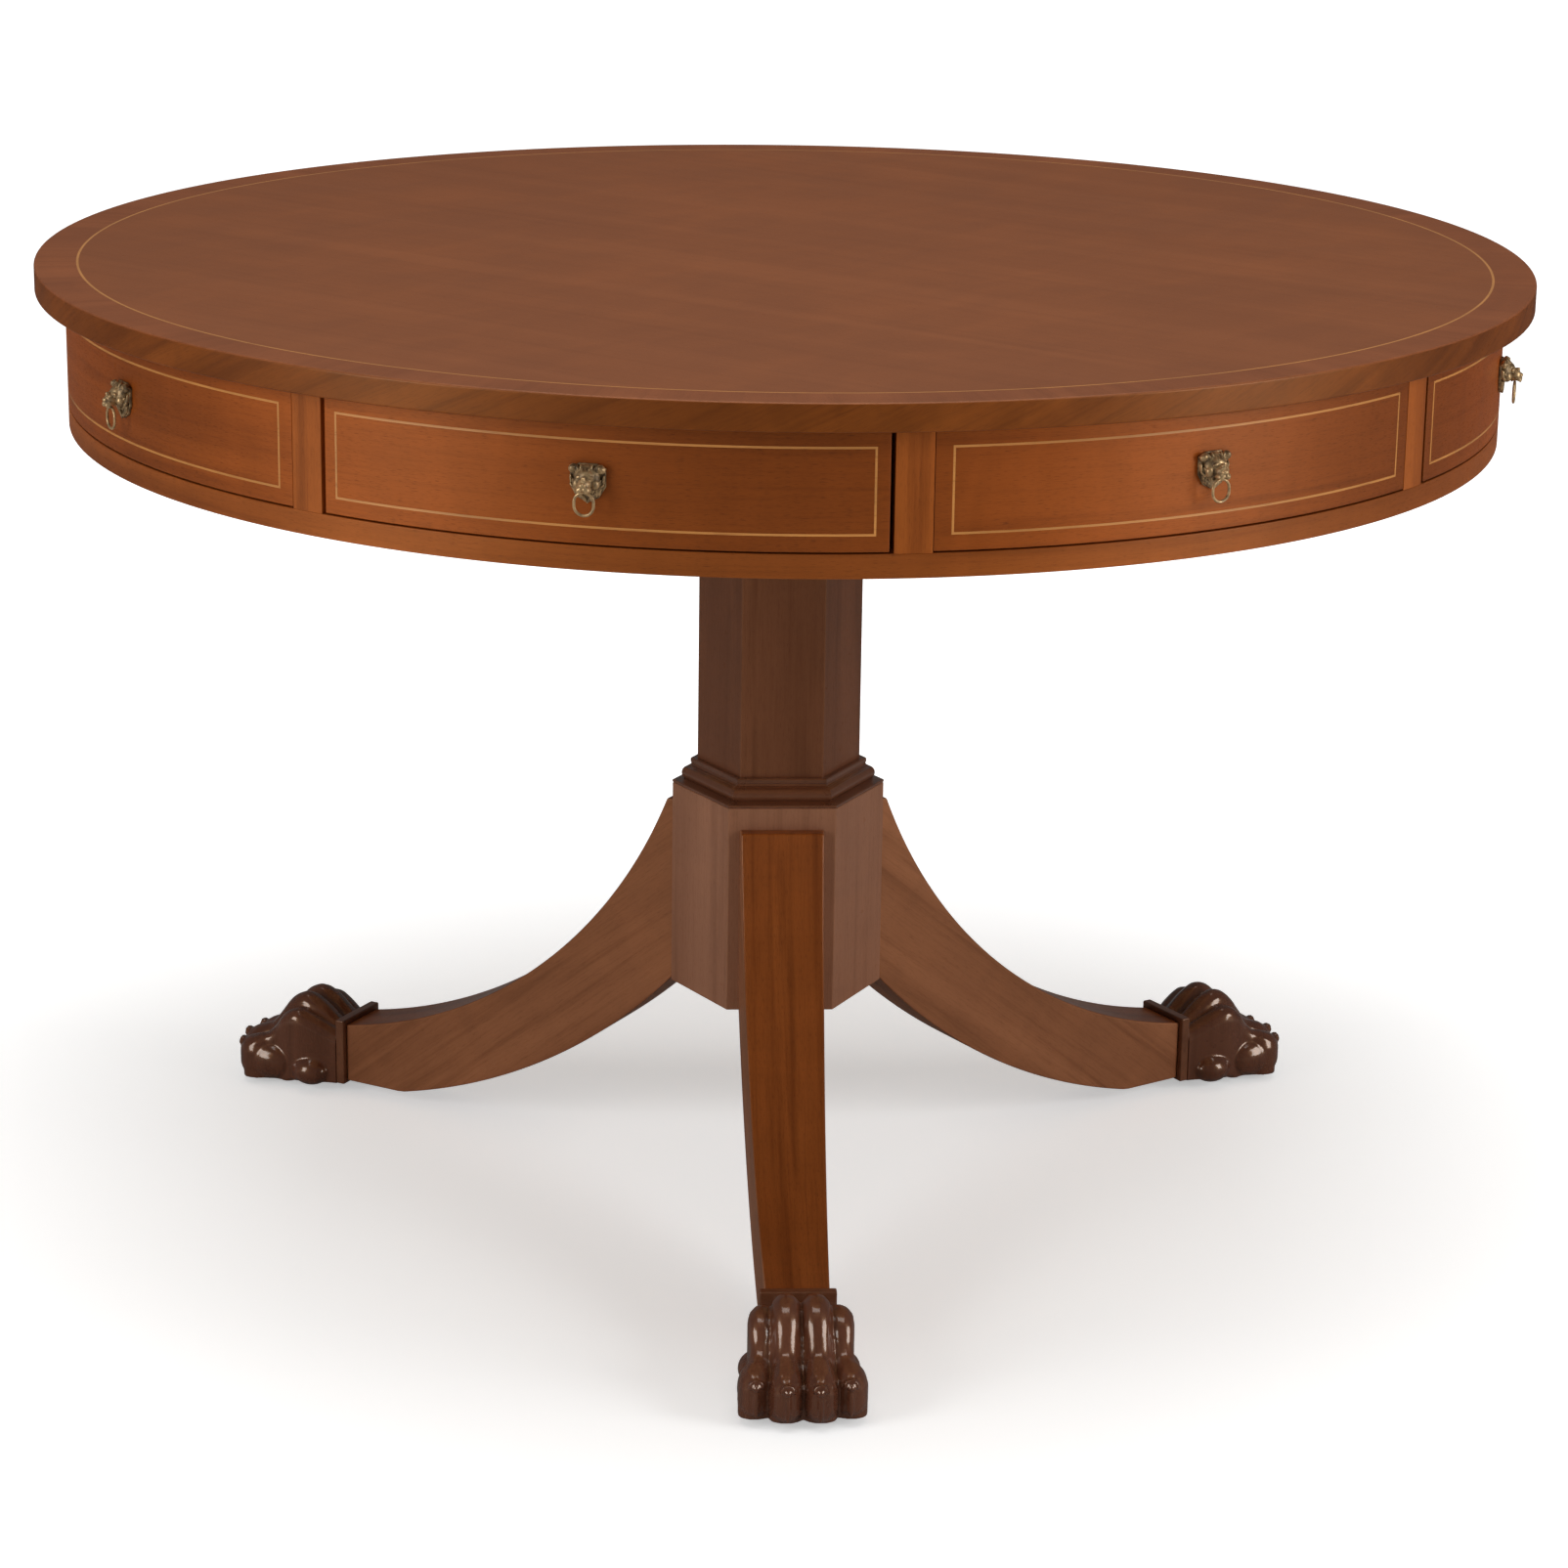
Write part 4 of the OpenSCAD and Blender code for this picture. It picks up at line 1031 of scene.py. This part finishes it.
class TABLE_OT_legs(bpy.types.Operator):
    """Makes the three swept legs and their collars"""

    bl_idname = "table.legs"
    bl_label = "Legs"

    def execute(self, context):
        s = context.scene.table_pedestal
        collar_low, collar_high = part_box("foot_collars")
        foot_r = PAW_R - s.collar_t
        ground = low("leg_front")
        head_z = high("leg_front")
        foot_h = collar_high.z - s.collar_lap
        head = Vector((BLOCK_FACE + s.leg_proud, head_z))
        foot = Vector((foot_r, foot_h))
        belly = Vector((BLOCK_FACE, BLOCK_Z + s.heel))
        heel = Vector((foot_r - s.leg_level, ground))
        upper = arc_centre(head, foot, s.upper_curve)
        lower = arc_centre(belly, heel, s.lower_curve)

        def top_at(r):
            if r <= head.x:
                return head_z
            return upper.y - sqrt(max(s.upper_curve**2 - (r - upper.x) ** 2, 0))

        def under_at(r):
            if r >= heel.x:
                return ground
            return lower.y - sqrt(s.lower_curve**2 - (r - lower.x) ** 2)

        def half_width(r):
            share_out = (r - BLOCK_FACE) / (foot_r - BLOCK_FACE)
            return (s.leg_w + (s.foot_w - s.leg_w) * share_out) / 2

        stations = [BLOCK_FACE - s.tenon, head.x]
        stations += [head.x + (foot_r - head.x) * (i / LEG_STEPS) ** LEG_CROWDING
                     for i in range(1, LEG_STEPS + 1)]
        for name, turn in LEG_TURNS.items():
            bm = bmesh.new()
            r = stations[0]
            corners = [bm.verts.new((x * half_width(r), -r, z)) for x, z in
                       ((-1, under_at(r)), (1, under_at(r)), (1, top_at(r)), (-1, top_at(r)))]
            face = bm.faces.new(corners)
            for r in stations[1:]:
                made = bmesh.ops.extrude_face_region(bm, geom=[face])
                new = [g for g in made["geom"] if isinstance(g, bmesh.types.BMVert)]
                faces = [g for g in made["geom"] if isinstance(g, bmesh.types.BMFace)]
                if face.is_valid:
                    bmesh.ops.delete(bm, geom=[face], context="FACES_ONLY")
                face = faces[0]
                middle_z = sum(v.co.z for v in new) / 4
                for v in new:
                    side = 1 if v.co.x > 0 else -1
                    v.co = (side * half_width(r), -r, top_at(r) if v.co.z > middle_z else under_at(r))
            bmesh.ops.holes_fill(bm, edges=[e for e in bm.edges if e.is_boundary], sides=4)
            round_edges(bm, s.leg_arris, 3, 55.0)
            bm.transform(turned(turn))
            piece = finish_piece("swept_leg_" + name, bm, "pedestal", finish("leg_" + name),
                                 ["leg_" + name], 30.0)
            piece.data.materials.append(finish("leg_face_" + name))
            across = Vector((cos(turn), sin(turn), 0))
            outward = Vector((sin(turn), -cos(turn), 0))
            grain = piece.data.attributes.new("grain", "FLOAT_VECTOR", "POINT")
            for i, v in enumerate(piece.data.vertices):
                spot = Vector((v.co.dot(outward), v.co.z)) - upper
                along = s.upper_curve * atan2(-spot.x, -spot.y)
                grain.data[i].vector = (along, v.co.dot(across), spot.length)
            for face in piece.data.polygons:
                if abs(face.normal.dot(across)) < 0.7:
                    face.material_index = 1
        collars = bmesh.new()
        for turn in LEG_TURNS.values():
            made = bmesh.ops.create_cube(collars, size=1.0)["verts"]
            bmesh.ops.scale(collars, verts=made, vec=(s.foot_w + 2 * s.collar_lap, s.collar_t,
                                                      collar_high.z - collar_low.z))
            bmesh.ops.translate(collars, verts=made,
                                vec=(0, -foot_r - s.collar_t / 2, (collar_high.z + collar_low.z) / 2))
            bmesh.ops.rotate(collars, verts=made, cent=(0, 0, 0), matrix=Matrix.Rotation(turn, 3, "Z"))
        round_edges(collars, 1.1 * MM, 3)
        finish_piece("foot_bands", collars, "pedestal", finish("collar"), ["foot_collars"])
        return {"FINISHED"}


# Stations along a toe: sideways, outwards from the collar, height of the ridge, half width
INNER_TOE = [(9.4, -5, 57, 10.2), (10.0, 10, 64, 10.9), (10.6, 25, 76, 11.3), (10.9, 38, 81.5, 11.4),
             (11.0, 49, 75.5, 10.6), (11.4, 59, 63, 9.4), (11.8, 69, 51.5, 9.4), (12.1, 79, 46.5, 11.4),
             (12.3, 86, 44, 12.5)]
OUTER_TOE = [(18.6, -5, 53, 9.2), (21.5, 9, 59, 9.9), (25.5, 23, 67, 10.4), (28.2, 36, 72, 10.6),
             (29.2, 46, 67, 9.4), (29.4, 55, 55.5, 8.2), (31.0, 64, 47, 9.0), (34.0, 73, 44.5, 11.6),
             (34.6, 79, 42.5, 12.4)]
INNER_TIP = 102.5
OUTER_TIP = 93.5
TOE_STEPS = 64
HOOD_STEPS = 11
# Slice taken off under a paw, so that its sole is flat
SOLE_CUT = 0.3 * MM


def add_pillar(bm, x, out, half, deep, low_z, high_z):
    """An upright filling of elliptical plan under a toe's ridge, in millimetres."""
    made = bmesh.ops.create_cone(bm, cap_ends=True, segments=24, radius1=1, radius2=1, depth=1)["verts"]
    bmesh.ops.scale(bm, verts=made, vec=(half, deep, high_z - low_z))
    bmesh.ops.translate(bm, verts=made, vec=(x, -out, (high_z + low_z) / 2))


def add_toe(bm, stations, side, tip):
    """A toe's ridge over its filling, the rounded end, and the claw with its hood."""
    for i in range(TOE_STEPS + 1):
        x, out, top, half = smooth_curve(stations, i / TOE_STEPS)
        crown = 1.1 * half
        underside = 9 if out < 45 else 6
        add_blob(bm, (side * x, -out, top - crown), (half, 0.8 * half, crown), detail=2)
        wall = max(0.985 * half, x if x < 15 else 0)
        add_pillar(bm, side * x, out, wall, 0.7 * half, underside, top - crown - (wall - half) / 2)
    x, _, _, half = stations[-1]
    add_blob(bm, (side * (x - 0.4), 26.5 - tip, 21.5), (half + 0.4, 25.5, 17.2))
    end = tip - 1.6
    add_pillar(bm, side * x, end - 15, half, 15, 17, 30)
    add_blob(bm, (side * x, 15 - end, 27), (half + 0.1, 15, 15.5))
    add_blob(bm, (side * x, 15 - end, 18), (half + 0.1, 15, 13.5))
    claw_x = side * (x - 0.6)
    add_blob(bm, (claw_x, 2.1 - tip, 20), (2.2, 3.0, 12), (3, 0, 0))
    add_blob(bm, (claw_x, 1.0 - tip, 33), (2.7, 2.8, 2.7))
    for k in range(HOOD_STEPS):
        a = radians(-10 + 20 * k)
        spot = (claw_x + 4.7 * cos(a), 3.4 - tip, 33.2 + 4.4 * sin(a))
        add_blob(bm, spot, (1.2, 3.4, 1.2), (-18, 0, 0), 2)


def paw_shape():
    """A carved paw in millimetres: four toes, the pads under them and the wrist in the collar."""
    bm = bmesh.new()
    for side in (-1, 1):
        add_toe(bm, INNER_TOE, side, INNER_TIP)
        add_toe(bm, OUTER_TOE, side, OUTER_TIP)
        add_blob(bm, (side * 29.5, -24.5, 18), (15.5, 17.6, 13.2))
        add_blob(bm, (side * 15, -12, 26), (14, 16, 20))
        add_pillar(bm, side * 14, 2, 13.6, 12, 10, 52)
        add_pillar(bm, side * 19, 46, 17, 34, 7, 30)
    add_pillar(bm, 0, 26, 14, 26, 8, 54)
    add_pillar(bm, 0, 64, 8, 26, 7, 28)
    add_pillar(bm, 0, 40, 12, 26, 0, 12)
    return bm


class TABLE_OT_paws(bpy.types.Operator):
    """Carves the three paws: four toes with claws, pads below and the wrist in the collar"""

    bl_idname = "table.paws"
    bl_label = "Paws"

    def execute(self, context):
        s = context.scene.table_pedestal
        bm = paw_shape()
        bmesh.ops.scale(bm, verts=bm.verts, vec=(MM, MM, MM))
        skin = blended_mesh("paw", bm, s.paw_cell, 4)
        cut(skin, (0, 0, 0), (0, 1, 0))
        cut(skin, (0, 0, SOLE_CUT), (0, 0, -1))
        whole = bpy.data.meshes.new("paw_shape")
        skin.to_mesh(whole)
        skin.free()
        for name, turn in LEG_TURNS.items():
            one = bmesh.new()
            one.from_mesh(whole)
            one.transform(turned(turn) @ Matrix.Translation((0, -PAW_R, -SOLE_CUT)))
            finish_piece("carved_paw_" + name, one, "pedestal", finish("paw"),
                         ["paw_" + name], 60.0)
        bpy.data.meshes.remove(whole)
        return {"FINISHED"}


def mask_shape():
    """The lion mask in millimetres: x sideways, y up from the shield's middle, z outwards."""
    bm = bmesh.new()
    add_blob(bm, (0, 4.2, 4.0), (8.2, 8.0, 5.6), (-12, 0, 0))
    add_blob(bm, (0, 5.2, 7.2), (5.4, 4.6, 4.2), (-30, 0, 0))
    add_blob(bm, (0, 1.0, 10.6), (4.2, 4.0, 5.6), (-12, 0, 0))
    add_blob(bm, (0, 3.4, 11.2), (1.7, 2.2, 4.6), (-32, 0, 0))
    add_blob(bm, (0, 1.4, 15.7), (2.3, 1.5, 1.9))
    for side in (-1, 1):
        add_blob(bm, (side * 2.3, -1.6, 12.8), (2.5, 2.7, 4.2), (0, 0, side * 10))
        add_blob(bm, (side * 1.3, -1.0, 15.4), (1.5, 1.6, 1.7))
        add_blob(bm, (side * 3.3, 5.4, 9.8), (2.3, 1.0, 1.3), (0, 0, side * -16))
        add_blob(bm, (side * 3.4, 3.7, 9.5), (1.1, 0.8, 0.9))
        add_blob(bm, (side * 5.6, 0.6, 6.0), (2.8, 3.6, 3.4))
        add_blob(bm, (side * 8.6, 9.4, 3.8), (3.2, 2.7, 2.4), (0, 0, side * -32))
        add_blob(bm, (side * 8.9, 9.8, 5.6), (1.9, 1.5, 1.3), (0, 0, side * -32))
        for k in range(4):
            add_blob(bm, (side * (3.2 + 2.2 * k), 9.8 - 0.5 * k, 5.2 - 0.7 * k), (0.9, 2.8, 1.6),
                     (-25, 0, side * (-8 - 14 * k)), 2)
        for k in range(5):
            add_blob(bm, (side * (10.2 - 1.9 * k), 2.6 - 2.8 * k + 0.3 * k * k, 2.9), (0.85, 3.3, 1.5),
                     (0, 0, side * (-6 - 7 * k)), 2)
            add_blob(bm, (side * (7.9 - 1.7 * k), -4.2 - 1.35 * k, 2.6), (0.8, 2.8, 1.3),
                     (0, 0, side * (-14 - 5 * k)), 2)
        for k in range(4):
            add_blob(bm, (side * (4.4 + 1.5 * k), 6.6 - 2.6 * k, 5.6 - 0.5 * k), (0.8, 2.6, 1.5),
                     (0, 0, side * (-30 - 6 * k)), 2)
    for k in range(3):
        add_blob(bm, ((k - 1) * 1.9, 8.2, 7.6), (0.8, 2.7, 1.4), (-34, 0, (1 - k) * 10), 2)
    bmesh.ops.scale(bm, verts=bm.verts, vec=(1.1, 1.12, 1))
    bmesh.ops.translate(bm, verts=bm.verts, vec=(0, -0.4, 0))
    return bm


def shield_shape(s):
    """The pointed shield behind a mask, with softened edges, in metres."""
    bm = bmesh.new()
    half, tall = s.width / 2, s.height
    right = [(half * 0.5, tall / 2), (half, tall * 0.38), (half, -tall * 0.08), (half * 0.62, -tall * 0.36),
             (0, -tall / 2)]
    outline = right + [(-x, y) for x, y in reversed(right[:-1])]
    verts = [bm.verts.new((x, y, 0)) for x, y in outline]
    face = bm.faces.new(verts)
    made = bmesh.ops.extrude_face_region(bm, geom=[face])
    top = [g for g in made["geom"] if isinstance(g, bmesh.types.BMVert)]
    bmesh.ops.translate(bm, verts=top, vec=(0, 0, s.plate))
    round_edges(bm, 0.5 * MM, 3, 40.0)
    return bm


class TABLE_OT_masks(bpy.types.Operator):
    """Casts the eight lion masks on their shields, with their pins"""

    bl_idname = "table.masks"
    bl_label = "Lion masks"

    def execute(self, context):
        s = context.scene.table_pulls
        shape = mask_shape()
        bmesh.ops.scale(shape, verts=shape.verts, vec=(MM, MM, MM))
        drill = bmesh.new()
        bmesh.ops.create_cone(drill, cap_ends=True, segments=40, radius1=s.bore, radius2=s.bore,
                              depth=0.9 * s.width)
        bmesh.ops.rotate(drill, verts=drill.verts, matrix=Matrix.Rotation(radians(90), 3, "Y"))
        bmesh.ops.scale(drill, verts=drill.verts, vec=(1, 1, 1.4))
        hinge = Vector((0, RING_HINGE.z - PULL_Z, RING_REACH - DRUM_R))
        bmesh.ops.translate(drill, verts=drill.verts, vec=hinge + Vector((0, -0.2 * s.bore, 0.45 * s.bore)))
        face = blended_mesh("mask", shape, s.cell, 1, drill)
        cut(face, (0, 0, 0.5 * s.plate), (0, 0, -1))
        proud = face.verts.layers.float.new("proud")
        for v in face.verts:
            around = sum((e.other_vert(v).co for e in v.link_edges), Vector()) / max(len(v.link_edges), 1)
            v[proud] = 0.45 + 5200.0 * (v.co - around).dot(v.normal)
        for _ in range(3):
            values = [sum((e.other_vert(v)[proud] for e in v.link_edges), v[proud]) / (len(v.link_edges) + 1)
                      for v in face.verts]
            for v, value in zip(face.verts, values):
                v[proud] = value
        for v in face.verts:
            v[proud] = min(max(v[proud] + 12.0 * (v.co.z - 0.006), 0.0), 1.0)
        whole = bpy.data.meshes.new("mask_shape")
        shield = shield_shape(s)
        proud_edge = shield.verts.layers.float.new("proud")
        for v in shield.verts:
            v[proud_edge] = 0.35
        for side in (-1, 1):
            pin = bmesh.ops.create_uvsphere(shield, u_segments=16, v_segments=10, radius=1.45 * MM)["verts"]
            bmesh.ops.scale(shield, verts=pin, vec=(1, 1, 0.8))
            bmesh.ops.translate(shield, verts=pin, vec=(side * (s.width / 2 - 2.5 * MM), -1.6 * MM,
                                                        s.plate + 1.7 * MM))
            for v in pin:
                v[proud_edge] = 0.1
        pour(shield, face)
        face.to_mesh(whole)
        face.free()
        stand = Matrix.Translation((0, -DRUM_R, PULL_Z)) @ Matrix.Rotation(radians(90), 4, "X")
        for name, degrees in DRAWER_TURNS.items():
            one = bmesh.new()
            one.from_mesh(whole)
            one.transform(turned(radians(degrees)) @ stand)
            finish_piece(name + "_lion_mask", one, name + "_drawer", finish("brass"),
                         [name + "_drawer_pull_mask"], 50.0)
        four = bmesh.new()
        for degrees in DUMMY_TURNS.values():
            before = set(four.verts)
            four.from_mesh(whole)
            new = [v for v in four.verts if v not in before]
            bmesh.ops.transform(four, matrix=turned(radians(degrees)) @ stand, verts=new)
        finish_piece("dummy_lion_masks", four, "drum", finish("brass"),
                     ["dummy_pull_masks"], 50.0)
        bpy.data.meshes.remove(whole)
        return {"FINISHED"}


def ring_shape(s):
    """An oval ring of round wire, hanging from the hinge line at the origin."""
    bm = bmesh.new()
    bend = s.ring_w / 2
    steps = 48
    wire = bmesh.ops.create_circle(bm, cap_ends=False, radius=s.wire / 2, segments=16)["verts"]
    bmesh.ops.translate(bm, verts=wire, vec=(bend, 0, 0))
    bmesh.ops.rotate(bm, verts=wire, cent=(0, 0, 0), matrix=Matrix.Rotation(pi / steps, 3, "Y"))
    bmesh.ops.spin(bm, geom=bm.verts[:] + bm.edges[:], cent=(0, 0, 0), axis=(0, 1, 0), angle=2 * pi,
                   steps=steps, use_merge=True)
    straight = s.ring_h - s.ring_w
    upper = [v for v in bm.verts if v.co.z > 0]
    bmesh.ops.translate(bm, verts=upper, vec=(0, 0, straight))
    bmesh.ops.translate(bm, verts=bm.verts, vec=(0, 0, -bend - straight))
    return bm


class TABLE_OT_rings(bpy.types.Operator):
    """Makes the eight rings that hang from the masks"""

    bl_idname = "table.rings"
    bl_label = "Rings"

    def execute(self, context):
        s = context.scene.table_pulls
        places = [(name, "_drawer", degrees) for name, degrees in DRAWER_TURNS.items()]
        places += [(name, "_dummy", degrees) for name, degrees in DUMMY_TURNS.items()]
        for name, kind, degrees in places:
            bm = ring_shape(s)
            proud = bm.verts.layers.float.new("proud")
            for v in bm.verts:
                v[proud] = 0.62
            bm.transform(turned(radians(degrees)) @ Matrix.Translation((0, -RING_REACH, RING_HINGE.z)))
            finish_piece(name + kind + "_wire_ring", bm, name + kind + "_pull_ring",
                         finish("brass"), [name + kind + "_ring"], 60.0)
        return {"FINISHED"}


class TABLE_OT_inside(bpy.types.Operator):
    """Gives the inner woodwork and the ironwork of the frame their finishes"""

    bl_idname = "table.inside"
    bl_label = "Inner woodwork and iron"

    def execute(self, context):
        plan = {"iron": ["under_plate", "base_screws", "lower_bearing_plate", "king_bolt",
                         "upper_bearing_plate", "drum_screws"],
                "pine_x": ["drum_base_board", "drawer_guides", "drawer_stops"], "pine_y": []}
        for name in DRAWER_TURNS:
            across = "pine_x" if name in ("front", "back") else "pine_y"
            along = "pine_y" if name in ("front", "back") else "pine_x"
            plan[across] += [name + "_drawer_back", name + "_drawer_bottom"]
            plan[along] += [name + "_drawer_sides"]
        for material_name, nodes in plan.items():
            for node in nodes:
                materials = frame["nodes"][node].data.materials
                materials.clear()
                materials.append(finish(material_name))
        return {"FINISHED"}


class TABLE_OT_stage(bpy.types.Operator):
    """Sets up the pale floor, the soft lights and the camera"""

    bl_idname = "table.stage"
    bl_label = "Stage"

    def execute(self, context):
        s = context.scene.table_stage
        scene = context.scene
        bm = bmesh.new()
        bmesh.ops.create_grid(bm, x_segments=1, y_segments=1, size=30)
        mesh = bpy.data.meshes.new("studio_floor")
        bm.to_mesh(mesh)
        bm.free()
        mesh.materials.append(finish("floor"))
        floor = bpy.data.objects.new("studio_floor", mesh)
        scene.collection.objects.link(floor)
        data = bpy.data.cameras.new("table_camera")
        data.lens = s.lens
        data.sensor_width = 36
        data.clip_end = 100
        camera = bpy.data.objects.new("table_camera", data)
        scene.collection.objects.link(camera)
        away = turned(s.turn) @ Vector((0, -s.distance, 0))
        look = Matrix.Rotation(s.turn - s.pan, 4, "Z") @ Matrix.Rotation(radians(90) - s.pitch, 4, "X")
        camera.matrix_world = (Matrix.Translation((away.x, away.y, s.height)) @ look
                               @ Matrix.Rotation(s.roll, 4, "Z"))
        scene.camera = camera
        world = bpy.data.worlds.new("studio")
        world.use_nodes = True
        tree = world.node_tree
        tree.nodes.clear()
        seen = put(tree, "ShaderNodeBackground", inputs={0: (1, 1, 1, 1), 1: 1.0}).outputs[0]
        soft = put(tree, "ShaderNodeBackground", inputs={0: (1, 1, 1, 1), 1: s.ambient}).outputs[0]
        path = put(tree, "ShaderNodeLightPath").outputs
        dim = put(tree, "ShaderNodeBackground", inputs={0: (1, 1, 1, 1), 1: 0.5 * s.ambient}).outputs[0]
        lit = put(tree, "ShaderNodeMixShader", inputs={0: path["Is Glossy Ray"], 1: soft, 2: dim}).outputs[0]
        both = put(tree, "ShaderNodeMixShader", inputs={0: path["Is Camera Ray"], 1: lit, 2: seen}).outputs[0]
        put(tree, "ShaderNodeOutputWorld", inputs={0: both})
        scene.world = world
        lamps = [("key_left", (-3.25, -2.35, 1.5), 1.5, 2.4, s.key_left),
                 ("key_right", (3.55, -1.75, 1.5), 1.5, 2.4, s.key_right),
                 ("overhead", (0.0, -0.2, 3.4), 2.6, 2.6, s.overhead)]
        for name, place, wide, tall, power in lamps:
            light = bpy.data.lights.new(name, "AREA")
            light.shape = "RECTANGLE"
            light.size, light.size_y, light.energy = wide, tall, power
            lamp = bpy.data.objects.new(name, light)
            spot = turned(s.turn) @ Vector(place)
            aim = Vector((0, 0, 0.5)) - spot
            lamp.matrix_world = Matrix.Translation(spot) @ aim.to_track_quat("-Z", "Y").to_matrix().to_4x4()
            scene.collection.objects.link(lamp)
        scene.view_settings.view_transform = "Standard"
        return {"FINISHED"}


OPERATORS = [TABLE_OT_top, TABLE_OT_drum, TABLE_OT_fronts, TABLE_OT_column, TABLE_OT_legs, TABLE_OT_paws,
             TABLE_OT_masks, TABLE_OT_rings, TABLE_OT_inside, TABLE_OT_stage]
SETTINGS = {"table_top": TopSettings, "table_drum": DrumSettings, "table_pedestal": PedestalSettings,
            "table_pulls": PullSettings, "table_finish": FinishSettings, "table_stage": StageSettings}


class TABLE_PT_looks(bpy.types.Panel):
    """Lists the table's settings and the steps that build it"""

    bl_idname = "TABLE_PT_looks"
    bl_label = "Drum Table"
    bl_space_type = "VIEW_3D"
    bl_region_type = "UI"
    bl_category = "Drum Table"

    def draw(self, context):
        for operator in OPERATORS:
            self.layout.operator(operator.bl_idname)
        for name in SETTINGS:
            box = self.layout.box()
            box.label(text=name.replace("_", " ").capitalize())
            settings = getattr(context.scene, name)
            for key in type(settings).__annotations__:
                box.prop(settings, key)


def register():
    for name, settings in SETTINGS.items():
        bpy.utils.register_class(settings)
        setattr(bpy.types.Scene, name, PointerProperty(type=settings))
    for cls in [*OPERATORS, TABLE_PT_looks]:
        bpy.utils.register_class(cls)


def unregister():
    for cls in reversed([*OPERATORS, TABLE_PT_looks]):
        bpy.utils.unregister_class(cls)
    for name, settings in SETTINGS.items():
        delattr(bpy.types.Scene, name)
        bpy.utils.unregister_class(settings)


def main():
    register()
    for operator in OPERATORS:
        group, call = operator.bl_idname.split(".")
        getattr(getattr(bpy.ops, group), call)()
    bpy.context.view_layer.update()


if __name__ == "__main__":
    main()
